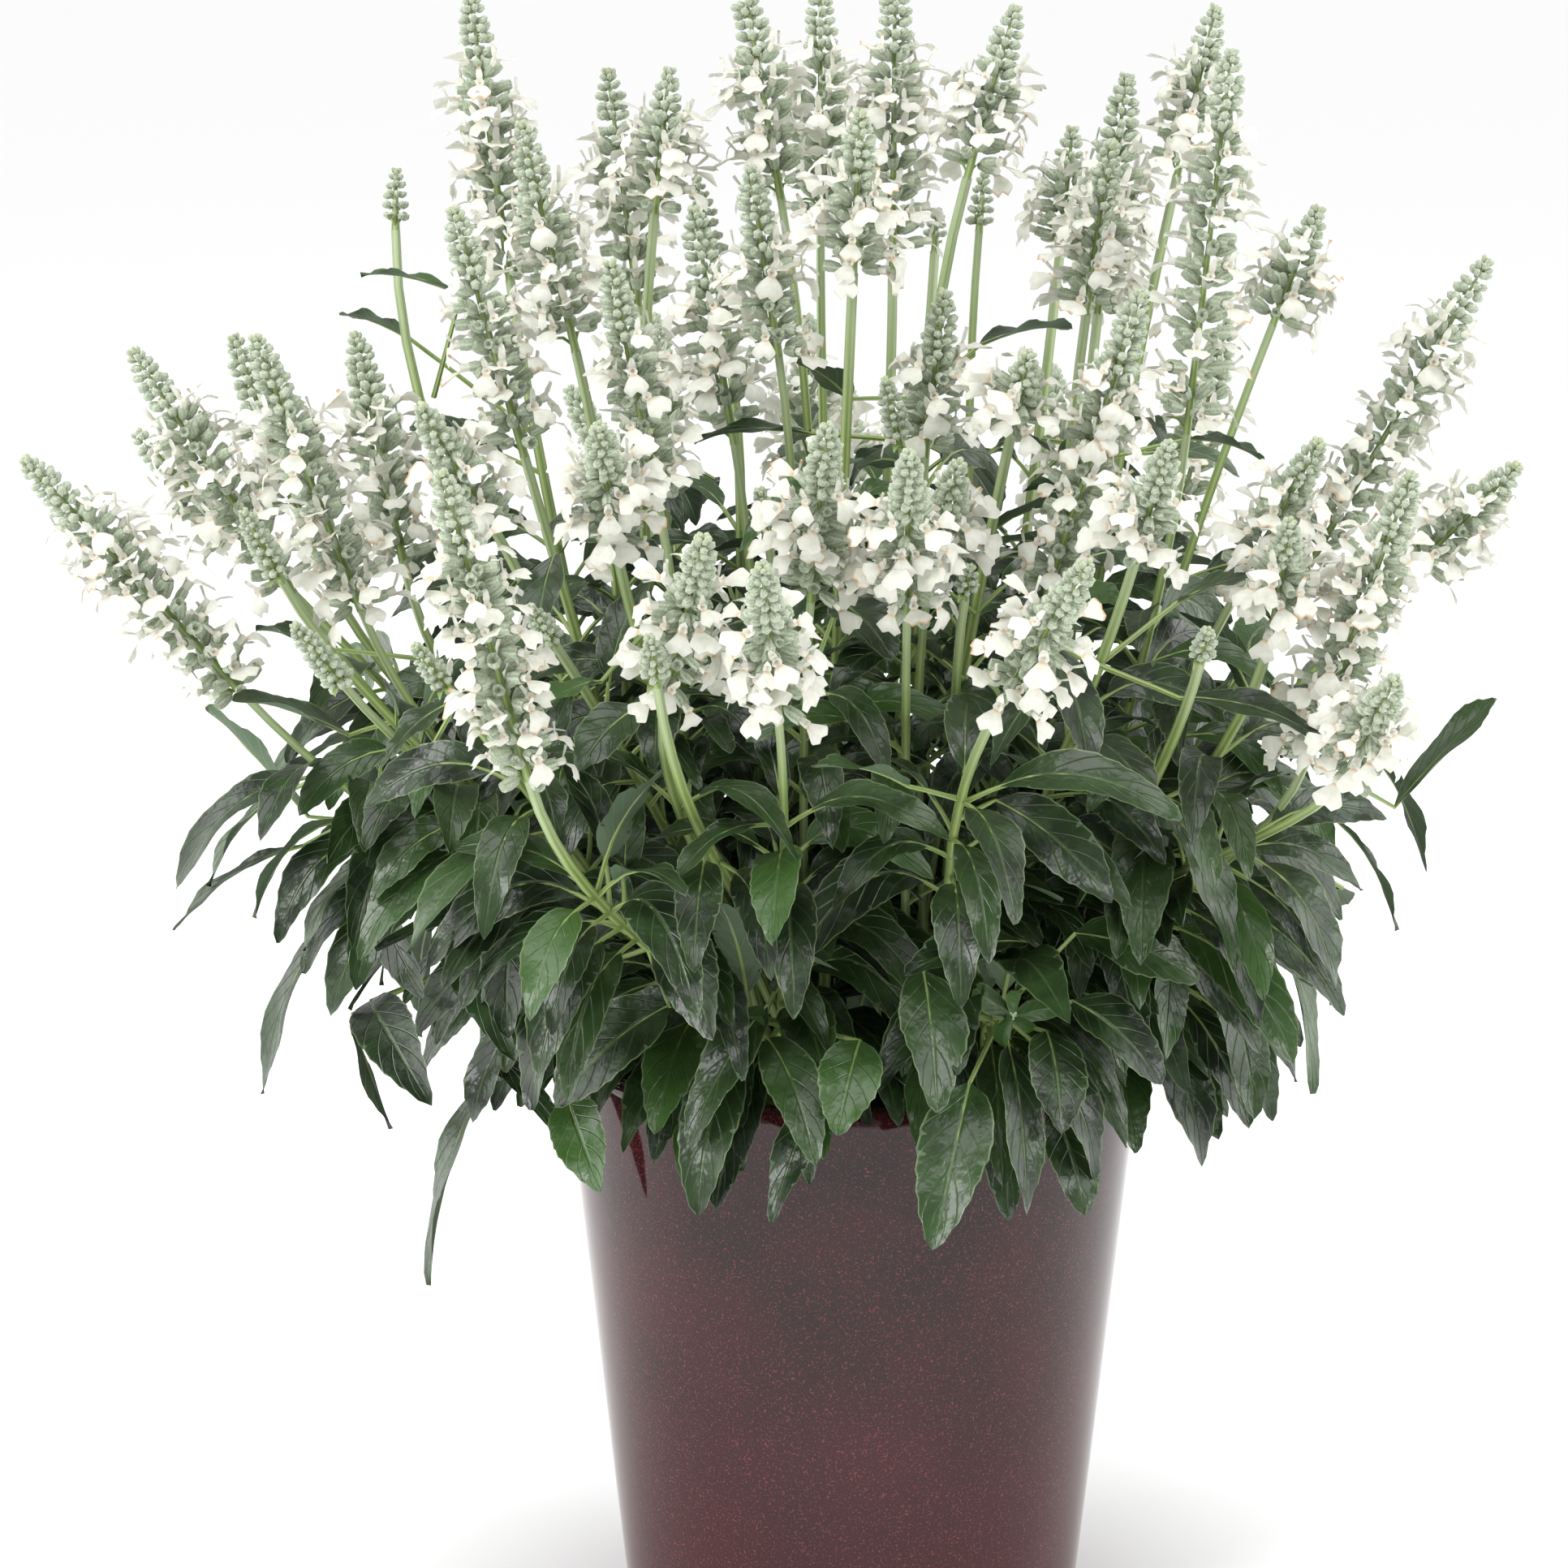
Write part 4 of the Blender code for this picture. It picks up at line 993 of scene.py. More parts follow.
def stem_solid(stem: Stem) -> Solid:
    """A closed square tube along the stem's axis.

    Args:
        stem: The stem.

    Returns:
        Points and triangles.
    """
    rings = []
    for share in STEM_STATIONS:
        point, _, (side, rise, *_), radius = stem_place(stem, share)
        angles = [-math.pi / 4 + math.pi / 2 * i for i in range(4)]
        rings.append([point + radius * (math.cos(a) * side + math.sin(a) * rise) for a in angles])
    return loft(rings)


def rooted_solid(place: Array, stem: Stem) -> Solid:
    """The crown with one stem grown out of it, for seeing whether the joint crosses itself.

    Args:
        place: The crown's middle.
        stem: The stem.

    Returns:
        Points and triangles.
    """
    crown, faces = loft([
        [place + polar(radius, 360 / CROWN_SIDES * i, height) for i in range(CROWN_SIDES)]
        for radius, height in CROWN_PROFILE
    ])
    verts = list(crown)
    side, band = socket_face(stem.socket)
    left, right = band * CROWN_SIDES + side, band * CROWN_SIDES + (side + 1) % CROWN_SIDES
    quad = [left, right, right + CROWN_SIDES, left + CROWN_SIDES]
    a, b, c, d = quad
    base = len(verts)
    tube, tube_faces = stem_solid(stem)
    verts += list(tube)
    faces = [f for f in faces if f not in ([a, b, c], [a, c, d])]
    faces += [[i + base for i in f] for f in tube_faces[2:]]
    corners = list(range(base, base + 4))

    def stretch(turn: int) -> float:
        """The sum of the distances from the face's corners to the ring's, at a turn."""
        ring = corners[turn:] + corners[:turn]
        return sum(np.linalg.norm(verts[p] - verts[q]) for p, q in zip(quad, ring))

    turn = min(range(4), key=stretch)
    ring = corners[turn:] + corners[:turn]
    for i in range(4):
        j = (i + 1) % 4
        faces += [[quad[i], quad[j], ring[j]], [quad[i], ring[j], ring[i]]]
    return np.array(verts), faces


def head_solid(head: Head, flowers: int = 0) -> Solid:
    """A plain spike of whorls, with some lobes drawn out into horns for open flowers.

    Args:
        head: The flower head.
        flowers: The number of open flowers.

    Returns:
        Points and triangles.
    """
    rng = random.Random(head.name)
    foot, axis, length = head.foot, unit(head.tip - head.foot), head.length
    u, v = frame_round(axis, HEAD_SIDE)
    whorls = max(2 if head.young else 4, round(length / WHORL_STEP))
    reach = BUD_REACH if head.young else WHORL_REACH
    step = length / (whorls + 0.35)
    open_whorls = max(1, round(OPEN_SHARE * whorls))
    open_lobes = {(i % open_whorls, (3 * i + i // open_whorls) % LOBES) for i in range(flowers)}

    def at(height: float, radius: float, degrees: float) -> Array:
        """The point at a height along the axis, and a radius and an angle round it."""
        angle = math.radians(degrees)
        return foot + axis * height + radius * (math.cos(angle) * u + math.sin(angle) * v)

    verts = [at(0.0, STEM_TIP_RADIUS, 90 * j) for j in range(LOBES)]
    faces = [[0, 2, 1], [0, 3, 2]]
    below = 0
    for k in range(whorls):
        share = (k + 0.5) * step / length
        lobe = reach * (1 - share**2.4) ** 0.75 * (1.08 if k % 2 else 0.95)
        phase = 45 * k
        last = k == whorls - 1
        ring = len(verts)
        for j in range(LOBES):
            out = lobe * rng.uniform(0.88, 1.1)
            lift = (k + 0.5 + 0.22 * rng.uniform(0.5, 1.2)) * step
            verts.append(at(lift, out, phase + 90 * j))
            verts.append(at((k + 0.5) * step, 0.45 * lobe + 1.0, phase + 90 * j + 45))
        above = len(verts)
        if last:
            verts.append(head.tip)
        else:
            pinch = RACHIS_RADIUS * (1 - 0.45 * share)
            verts += [at((k + 1) * step, pinch, phase + 90 * j + 45) for j in range(LOBES)]
        for j in range(LOBES):
            out, right, left = ring + 2 * j, ring + 2 * j + 1, ring + (2 * j - 1) % (2 * LOBES)
            foot_j, foot_next = below + j, below + (j + 1) % LOBES
            top, top_left = (above, above) if last else (above + j, above + (j - 1) % LOBES)
            faces.append([foot_j, foot_next, right])
            round_lobe = [left, foot_j, right, top] + ([] if last else [top_left])
            if (k, j) in open_lobes:
                faces += horn_faces(verts, round_lobe, out, axis)
            else:
                faces += [[out, a, b] for a, b in zip(round_lobe, round_lobe[1:] + [left])]
        below = above
    return np.array(verts), faces


def horn_faces(verts: list, round_lobe: list[int], out: int, axis: Array) -> list[list[int]]:
    """A lobe drawn out into a narrow throat and a flared mouth, in place of its one tip.

    Args:
        verts: The head's points, which grow by the flower's.
        round_lobe: The five points round the lobe.
        out: The lobe's tip.
        axis: The head's axis.

    Returns:
        The flower's triangles.
    """
    left, low, right, top, top_left = round_lobe
    mouth = verts[out]
    outward = unit(mouth - 0.5 * (verts[left] + verts[right]))
    across = unit(np.cross(axis, outward))
    upward = np.cross(outward, across)
    throat = [mouth + THROAT * (math.cos(a) * across + math.sin(a) * upward)
              for a in (-math.pi / 2, math.pi / 6, 5 * math.pi / 6)]
    end = mouth + COROLLA_LENGTH * outward
    flare = [end - 0.8 * COROLLA_FLARE * upward,
             end + COROLLA_FLARE * across + 1.0 * upward - 2.0 * outward,
             end - COROLLA_FLARE * across + 1.0 * upward - 2.0 * outward]
    a, b, c = out, len(verts), len(verts) + 1
    verts[out] = throat[0]
    verts += throat[1:] + flare
    d, e, f = c + 1, c + 2, c + 3
    faces = [[left, low, a], [low, right, a], [right, top, b], [right, b, a], [top, top_left, b],
             [top_left, c, b], [top_left, left, c], [left, a, c]]
    for near, far in (((a, b), (d, e)), ((b, c), (e, f)), ((c, a), (f, d))):
        faces += [[near[0], near[1], far[1]], [near[0], far[1], far[0]]]
    return faces + [[d, e, f]]


def leaf_facing(leaf: Leaf) -> Array:
    """Where the leaf's upper face looks: up, and outwards the more the blade hangs.

    Args:
        leaf: The leaf.

    Returns:
        The direction, not at length one.
    """
    outward = unit(leaf.foot * LEVEL + [0, -1e-3, 0])
    fall = unit(leaf.tip - leaf.foot)[2]
    return UP + min(max(0.3 - 1.2 * fall, -0.3), 1.3) * outward


def front_roll(root: Array) -> float:
    """How far a leaf at the plant's side rolls, so that its blade is seen from in front or from
    behind and not edge on: the square of its share of sideways reach, times the most."""
    sideways = unit(root * LEVEL)[0]
    return FRONT_ROLL * sideways * abs(sideways) * (1 if root[1] < FRONT_DEPTH else -1)


def blade_frame(facing: Array, tangent: Array, roll: float) -> tuple[Array, Array]:
    """The directions across a blade and out of its upper face.

    Args:
        facing: Where the blade roughly looks.
        tangent: The way its midline runs.
        roll: How far it is turned round that, in radians.

    Returns:
        The two directions.
    """
    normal = unit(facing - tangent * facing.dot(tangent))
    side = np.cross(normal, tangent)
    cos, sin = math.cos(roll), math.sin(roll)
    return cos * side + sin * normal, cos * normal - sin * side


def leaf_solid(leaf: Leaf, spare: float = 0.0, skip: float = 0.0) -> Solid:
    """A plain leaf: a flat face, a keel under its midrib and waved edges, on a thin stalk.

    Args:
        leaf: The leaf.
        spare: Room to add all round.
        skip: The share of the stalk to leave out at its root.

    Returns:
        Points and triangles.
    """
    rng = random.Random(leaf.name)
    stations, widths = LEAF_STATIONS, LEAF_WIDTHS
    if leaf.inner:
        stations, widths = INNER_STATIONS, INNER_WIDTHS
    start = leaf.root + (leaf.foot - leaf.root) * skip
    points = np.vstack([start, leaf.midline(np.array((0.0,) + stations + (1.0,)))])
    tangents = unit_rows(np.gradient(points, axis=0))
    facing = leaf_facing(leaf)
    half = 0.5 * leaf.width
    halves = [STALK_HALF_WIDTH, STALK_HALF_WIDTH + 0.3] + [half * w for w in widths]
    rings = []
    for i, (point, tangent) in enumerate(zip(points[:-1], tangents[:-1])):
        side, normal = blade_frame(facing, tangent, leaf.roll)
        wave = LEAF_WAVE * rng.uniform(0.5, 1.0) * (-1) ** i if i > 1 else 0.0
        wide = (halves[i] + spare) * (rng.uniform(0.93, 1.07) if i > 1 else 1.0)
        depth = LEAF_DEPTH + 2 * spare
        rings.append([
            point + side * wide + normal * (wave + spare),
            point - side * wide + normal * (wave + spare),
            point - normal * depth,
        ])
    return loft(rings, tip=points[-1])


def leaf_root(stem: Stem, slot: int, face: int) -> Array:
    """The middle of one of the stem's four faces at a slot."""
    point, _, sides, radius = stem.places[slot]
    return point + sides[face] * math.sqrt(0.5) * radius


def pot_proxy() -> Solid:
    """A coarse pot, a little larger than the real one, for keeping leaves off it.

    Returns:
        Points and triangles.
    """
    rings = []
    for height, radius in ((0.0, POT_BASE_RADIUS), (POT_HEIGHT, POT_TOP_RADIUS)):
        rings.append([polar(radius + 3.0, 15 * i, height + 3.0) for i in range(24)])
    return loft(rings)


def skirt_depth(across: float, reach: float) -> float:
    """How far before the axis a leaf of the outer skirt hangs, on a round of the given reach."""
    return -max(math.sqrt(max(reach**2 - across**2, 0.0)), 16.0)


# Surfaces

@dataclass(frozen=True)
class Shape:
    """A closed surface: its points, its faces and each point's place along and across it."""

    points: Array
    faces: tuple[Array, ...]
    marks: Array


def quads_of(index: Array) -> Array:
    """The four corners of each cell of a grid of point numbers, rows along and columns across."""
    corners = [index[:-1, :-1], index[:-1, 1:], index[1:, 1:], index[1:, :-1]]
    return np.stack(corners, -1).reshape(-1, 4)


def ring_faces(rings: int, sides: int) -> tuple[Array, Array, Array]:
    """The faces of rings of points in a row, closed by two more points, one for each end.

    Args:
        rings: The number of rings, each counterclockwise as seen from the last one's end.
        sides: The points of each ring.

    Returns:
        The faces between the rings, the first ring's fan and the last one's.
    """
    index = np.arange(rings * sides).reshape(rings, sides)
    index = np.hstack([index, index[:, :1]])
    start, end = rings * sides, rings * sides + 1
    low = np.stack([np.full(sides, start), index[0, 1:], index[0, :-1]], 1)
    high = np.stack([index[-1, :-1], index[-1, 1:], np.full(sides, end)], 1)
    return quads_of(index), low, high


def turned_surface(rings: Array, low: float, high: float) -> Shape:
    """Rings round the Z axis, closed by a point on it at each of two heights, without marks."""
    points = np.vstack([rings.reshape(-1, 3), low * UP, high * UP])
    return Shape(points, ring_faces(*rings.shape[:2]), np.zeros((len(points), 2)))


def tube(path: Array, side: Array, radii: Array, section: Array, end: Array | None = None) -> Shape:
    """A section carried along a path and closed by a point at each end.

    Each ring is the path's point plus the section's two numbers times the radius, along two
    directions square to the path: the side, made square to it, and the tangent crossed with that.

    Args:
        path: The middle of each ring.
        side: The direction that the section's first number goes, for all rings or each.
        radii: The radius of each ring, or two radii of each.
        section: Points of the section, counterclockwise, at radius one.
        end: The closing point of the far end, if not the path's last.

    Returns:
        The closed tube, marked by its share of the length and of the turn.
    """
    tangent = unit_rows(np.gradient(path, axis=0))
    first = unit_rows(side - tangent * np.sum(tangent * side, axis=1)[:, None])
    second = np.cross(tangent, first)
    radii = np.reshape(radii, (len(path), -1)) * np.ones(2)
    rings = path[:, None] + first[:, None] * section[:, :1] * radii[:, :1, None]
    rings = rings + second[:, None] * section[:, 1:] * radii[:, 1:, None]
    rows, columns = len(path), len(section)
    points = np.vstack([rings.reshape(-1, 3), path[0], path[-1] if end is None else end])
    along = np.repeat(np.linspace(0, 1, rows), columns)
    turn = np.tile(np.arange(columns) / columns, rows)
    marks = np.vstack([np.stack([along, turn], 1), [[0, 0], [1, 0]]])
    return Shape(points, ring_faces(rows, columns), marks)


def round_section(count: int) -> Array:
    """Points of a circle at radius one."""
    angles = 2 * math.pi * np.arange(count) / count
    return np.stack([np.cos(angles), np.sin(angles)], 1)


def square_section(count: int = 8, flat: float = 0.8) -> Array:
    """A square with rounded corners: its radius is the flat share plus the rest times the squared
    sine of twice the angle.

    Args:
        count: The number of points.
        flat: The radius halfway along a side.

    Returns:
        The section's points.
    """
    angles = 2 * math.pi * np.arange(count) / count - math.pi / 4
    radius = flat + (1 - flat) * np.sin(2 * angles) ** 2
    return np.stack([np.cos(angles) * radius, np.sin(angles) * radius], 1)


def pillow(top: Array, depth: float, along: Array, across: Array) -> Shape:
    """A thin closed sheet: the grid, and a second one behind it that shares its edge.

    The second grid is the first less its unit normal times the depth, where the normal is the
    cross product of the grid's slopes across and along.

    Args:
        top: Rows and columns of points.
        depth: The thickness away from the edge.
        along: The share along of each row.
        across: The share across of each column.

    Returns:
        The closed sheet, with the front's faces first.
    """
    rows, columns, _ = top.shape
    normal = np.cross(np.gradient(top, axis=1), np.gradient(top, axis=0))
    normal = normal / np.maximum(np.linalg.norm(normal, axis=2), 1e-9)[..., None]
    inner = (top - depth * normal)[1:-1, 1:-1].reshape(-1, 3)
    index = np.arange(rows * columns).reshape(rows, columns)
    behind = index.copy()
    behind[1:-1, 1:-1] = rows * columns + np.arange(len(inner)).reshape(rows - 2, columns - 2)
    marks = np.stack(np.broadcast_arrays(along[:, None], across[None, :]), -1)
    marks = np.vstack([marks.reshape(-1, 2), marks[1:-1, 1:-1].reshape(-1, 2)])
    return Shape(np.vstack([top.reshape(-1, 3), inner]),
                 (quads_of(index), quads_of(behind)[:, ::-1]), marks)


def joined(*shapes: Shape) -> Shape:
    """Several closed surfaces as one.

    Args:
        *shapes: The surfaces.

    Returns:
        The joined surface.
    """
    starts = np.cumsum([0] + [len(s.points) for s in shapes])
    faces = tuple(f + start for s, start in zip(shapes, starts) for f in s.faces)
    return Shape(np.vstack([s.points for s in shapes]), faces, np.vstack([s.marks for s in shapes]))


def add_object(name: str, data: bpy.types.ID) -> bpy.types.Object:
    """Puts a mesh, a light or a camera into the scene.

    Args:
        name: The object's name.
        data: What it shows.

    Returns:
        The object.
    """
    obj = bpy.data.objects.new(name, data)
    bpy.context.scene.collection.objects.link(obj)
    return obj


class MeshBatch:
    """Gathers many small surfaces into one mesh with a few materials."""

    def __init__(self) -> None:
        """Starts empty."""
        self.count = 0
        self.points: list[Array] = []
        self.marks: list[Array] = []
        self.faces: list[tuple[Array, int]] = []

    def add(self, shape: Shape, slots: int | tuple[int, ...], tone: float | Array) -> None:
        """Adds one surface.

        Args:
            shape: The surface.
            slots: The material of all of its faces, or of each of its groups of faces.
            tone: A number from 0 to 1 by which the material varies its colour.
        """
        groups = (slots,) * len(shape.faces) if isinstance(slots, int) else slots
        self.faces += [(f + self.count, slot) for f, slot in zip(shape.faces, groups)]
        tones = np.broadcast_to(tone, len(shape.points))
        self.marks.append(np.column_stack([shape.marks, tones]))
        self.points.append(shape.points)
        self.count += len(shape.points)

    def stamp(self, shape: Shape, origins: Array, frames: Array, sizes: Array,
              slot: int, tones: Array) -> None:
        """Adds a surface many times over: each point is the origin plus its numbers, times the
        copy's sizes, along the rows of the copy's frame.

        Args:
            shape: The surface, near the origin.
            origins: Where each copy stands.
            frames: The three directions of each copy.
            sizes: The three scales of each copy.
            slot: The material of the copies.
            tones: The tone of each copy.
        """
        copies, count = len(origins), len(shape.points)
        if not copies:
            return
        points = origins[:, None] + np.einsum("nc,kc,kcd->knd", shape.points, sizes, frames)
        starts = self.count + count * np.arange(copies)
        for faces in shape.faces:
            moved = faces[None] + starts[:, None, None]
            self.faces.append((moved.reshape(-1, faces.shape[1]), slot))
        marks = np.tile(shape.marks, (copies, 1))
        self.marks.append(np.column_stack([marks, np.repeat(tones, count)]))
        self.points.append(points.reshape(-1, 3))
        self.count += copies * count

    def build(self, name: str, materials: list[Material], smooth: float = 50.0,
              scene_slot: str | None = None, nodes: tuple[str, ...] = ()) -> bpy.types.Object:
        """Makes the mesh and its object, and hangs it under the root body's empty.

        Args:
            name: The piece's name.
            materials: Its materials, in the order of the slots.
            smooth: The angle past which an edge is drawn sharp, in degrees.
            scene_slot: Not used.
            nodes: The CAD nodes that it stands for.

        Returns:
            The object.
        """
        mesh = bpy.data.meshes.new(name)
        corners = np.concatenate([f.ravel() for f, _ in self.faces])
        totals = np.concatenate([np.full(len(f), f.shape[1]) for f, _ in self.faces])
        slots = np.concatenate([np.full(len(f), slot) for f, slot in self.faces])
        points = np.concatenate(self.points) * MM
        mesh.vertices.add(len(points))
        mesh.vertices.foreach_set("co", points.astype(np.float32).ravel())
        mesh.loops.add(len(corners))
        mesh.loops.foreach_set("vertex_index", corners.astype(np.int32))
        mesh.polygons.add(len(totals))
        starts = np.concatenate([[0], np.cumsum(totals)[:-1]])
        mesh.polygons.foreach_set("loop_start", starts.astype(np.int32))
        mesh.polygons.foreach_set("material_index", slots.astype(np.int32))
        mesh.update(calc_edges=True)
        marks = mesh.attributes.new("marks", "FLOAT_VECTOR", "POINT")
        marks.data.foreach_set("vector", np.concatenate(self.marks).astype(np.float32).ravel())
        mesh.shade_smooth()
        mesh.set_sharp_from_angle(angle=math.radians(smooth))
        for material in materials:
            mesh.materials.append(material)
        obj = add_object(name, mesh)
        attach(obj, "root")
        if nodes:
            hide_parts(*nodes)
        log.info("%s: %d triangles", name, int((totals - 2).sum()))
        return obj


# Finishes

def linear(colour: str) -> tuple[float, float, float, float]:
    """Turns an sRGB colour into a linear one.

    Args:
        colour: The colour in hex, such as #ffffff.

    Returns:
        Red, green, blue and alpha.
    """
    values = [int(colour[i : i + 2], 16) / 255 for i in (1, 3, 5)]
    lit = [v / 12.92 if v <= 0.04045 else ((v + 0.055) / 1.055) ** 2.4 for v in values]
    return lit[0], lit[1], lit[2], 1.0


def add_node(tree: bpy.types.NodeTree, kind: str, settings: dict | None = None,
             **inputs: object) -> bpy.types.Node:
    """Adds a shader node.

    Args:
        tree: The material's nodes.
        kind: The node's type, without "ShaderNode".
        settings: Values for the node's own properties.
        **inputs: A value or an output for each input, named with _ for a blank, or _0, _1 and so
            on by its number.

    Returns:
        The node.
    """
    node = tree.nodes.new("ShaderNode" + kind)
    for key, value in (settings or {}).items():
        setattr(node, key, value)
    for key, value in inputs.items():
        wanted = int(key[1:]) if key[0] == "_" else key.replace("_", " ")
        socket = node.inputs[wanted]
        if isinstance(value, Socket):
            tree.links.new(value, socket)
        else:
            socket.default_value = value
    return node


class Paint:
    """A new material with its shader, and the patterns that the finishes are made of."""

    def __init__(self, name: str, **values: float | tuple[float, ...]) -> None:
        """Makes the material.

        Args:
            name: The material's name.
            **values: Constants for the shader's own sockets, named with _ for a blank.
        """
        self.material = bpy.data.materials.new(name)
        self.material.use_nodes = True
        self.tree = self.material.node_tree
        self.shader = self.tree.nodes["Principled BSDF"]
        for key, value in values.items():
            self.shader.inputs[key.replace("_", " ")].default_value = value

    def finished(self, colour: Socket) -> Material:
        """Gives the shader its colour and hands over the material."""
        self.tree.links.new(colour, self.shader.inputs["Base Color"])
        return self.material

    def mixed(self, share: Socket | float, low: Socket | str, high: Socket | str) -> Socket:
        """Lays the high colour over the low one by a share. Each is an output or an sRGB hex."""
        low, high = (linear(c) if isinstance(c, str) else c for c in (low, high))
        return add_node(self.tree, "Mix", {"data_type": "RGBA"}, _0=share, _6=low,
                        _7=high).outputs[2]

    def stepped(self, value: Socket, low: float, high: float, to_low: float = 0.0,
                to_high: float = 1.0) -> Socket:
        """Moves a value evenly from one range to another, and holds it to that."""
        return add_node(self.tree, "MapRange", None, Value=value, _1=low, _2=high, _3=to_low,
                        _4=to_high).outputs[0]

    def worked(self, operation: str, *values: Socket | float, clamp: bool = False) -> Socket:
        """Takes one step of arithmetic, and can hold its result between 0 and 1."""
        inputs = {f"_{i}": value for i, value in enumerate(values)}
        return add_node(self.tree, "Math", {"operation": operation, "use_clamp": clamp},
                        **inputs).outputs[0]

    def place(self) -> Socket:
        """A point's place on the object, in metres."""
        return add_node(self.tree, "TexCoord").outputs["Object"]

    def noise(self, size: float, detail: float = 2.0) -> Socket:
        """Noise on the object's own coordinates, with blotches of a size in millimetres."""
        return add_node(self.tree, "TexNoise", None, Vector=self.place(), Scale=1 / (size * MM),
                        Detail=detail).outputs[0]

    def marks(self) -> list[Socket]:
        """Where a point lies along its surface and across it, and the surface's tone."""
        source = add_node(self.tree, "Attribute", {"attribute_name": "marks"}).outputs["Vector"]
        return list(add_node(self.tree, "SeparateXYZ", None, Vector=source).outputs)

    def relief(self, height: Socket, millimetres: float) -> None:
        """Bumps the shader by a height from 0 to 1."""
        bump = add_node(self.tree, "Bump", None, Height=height, Distance=millimetres * MM)
        self.tree.links.new(bump.outputs[0], self.shader.inputs["Normal"])

    def veins(self, along: Socket, across: Socket, count: float) -> Socket:
        """Draws thin lines along a blade's midrib and its slanting side veins.

        A side vein lies where the share along, less 0.3 times the distance from the midrib, times
        the number of veins, is halfway between two whole numbers.

        Args:
            along: The share along the blade.
            across: The share across it, from -1 to 1.
            count: The number of side veins.

        Returns:
            How near a point is to a vein, from 0 to 1.
        """
        off = self.worked("ABSOLUTE", across)
        slant = self.worked("SUBTRACT", along, self.worked("MULTIPLY", off, 0.3))
        saw = self.worked("FRACT", self.worked("MULTIPLY", slant, count))
        near = self.worked("ABSOLUTE", self.worked("SUBTRACT", saw, 0.5))
        side = self.stepped(near, 0.07, 0.0, 0.0, 0.7)
        return self.worked("MAXIMUM", side, self.stepped(off, 0.1, 0.03))


@dataclass(frozen=True)
class OxbloodGlaze:
    """Iron-red glaze on stoneware, fired glossy: deep maroon, nearly black, with fine specks."""

    deep: str = "#1b080c"
    warm: str = "#341016"
    red: str = "#3c0d10"
    speck: str = "#84403f"
    cloud_size: float = 60.0
    speck_size: float = 0.9
    ripple_size: float = 25.0
    ripple: float = 0.12

    def build(self) -> Material:
        """Lays clouds of two deep tones, redder towards the foot, under specks and a slow ripple.

        Returns:
            The material.
        """
        paint = Paint("oxblood_glazed_stoneware", Roughness=0.06, IOR=1.5, Specular_IOR_Level=0.4)
        cloud = paint.stepped(paint.noise(self.cloud_size), 0.38, 0.66)
        colour = paint.mixed(cloud, self.deep, self.warm)
        height = add_node(paint.tree, "SeparateXYZ", None, Vector=paint.place()).outputs[2]
        colour = paint.mixed(paint.stepped(height, 0.2, 0.02, 0.0, 0.75), colour, self.red)
        specks = paint.stepped(paint.noise(self.speck_size, 3.0), 0.56, 0.72, 0.0, 0.7)
        colour = paint.mixed(specks, colour, self.speck)
        paint.relief(paint.noise(self.ripple_size, 1.0), self.ripple)
        return paint.finished(colour)


@dataclass(frozen=True)
class PottingSoil:
    """Peat and bark, crumbled: dull and very dark, with paler crumbs."""

    dark: str = "#1d140f"
    pale: str = "#4a382a"
    crumb: float = 4.0
    crumb_height: float = 2.0

    def build(self) -> Material:
        """Lays pale crumbs on the dark peat and raises them.

        Returns:
            The material.
        """
        paint = Paint("crumbled_potting_soil", Roughness=0.95)
        crumbs = paint.noise(self.crumb, 4.0)
        paint.relief(crumbs, self.crumb_height)
        return paint.finished(paint.mixed(paint.stepped(crumbs, 0.42, 0.7), self.dark, self.pale))


@dataclass(frozen=True)
class CalyxFelt:
    """Calyx skin under a felt of white hairs: sage grey-green, greener in its ribs' furrows."""

    felt: str = "#ccd3c3"
    green: str = "#8e9f7b"
    young: str = "#b6bf88"
    foot: str = "#a3b078"
    ribs: float = 7.0
    hair: float = 0.7
    depth: float = 0.25

    def build(self) -> Material:
        """Lays felt on the ribs, a sine round the calyx, and on tufts of hair between them.

        Returns:
            The material.
        """
        paint = Paint("felted_salvia_calyx", Roughness=0.85, Sheen_Weight=0.35,
                      Sheen_Roughness=0.5)
        along, across, tone = paint.marks()
        wave = paint.worked("SINE", paint.worked("MULTIPLY", across, 2 * math.pi * self.ribs))
        rib = paint.stepped(wave, -1.0, 1.0, 0.0, 0.45)
        hairs = paint.stepped(paint.noise(self.hair, 3.0), 0.35, 0.65, 0.0, 0.55)
        share = paint.worked("ADD", rib, hairs, clamp=True)
        colour = paint.mixed(share, self.green, self.felt)
        colour = paint.mixed(paint.stepped(along, 0.3, 0.0, 0.0, 0.6), colour, self.foot)
        colour = paint.mixed(paint.stepped(tone, 0.55, 1.0, 0.0, 0.7), colour, self.young)
        paint.relief(share, self.depth)
        return paint.finished(colour)


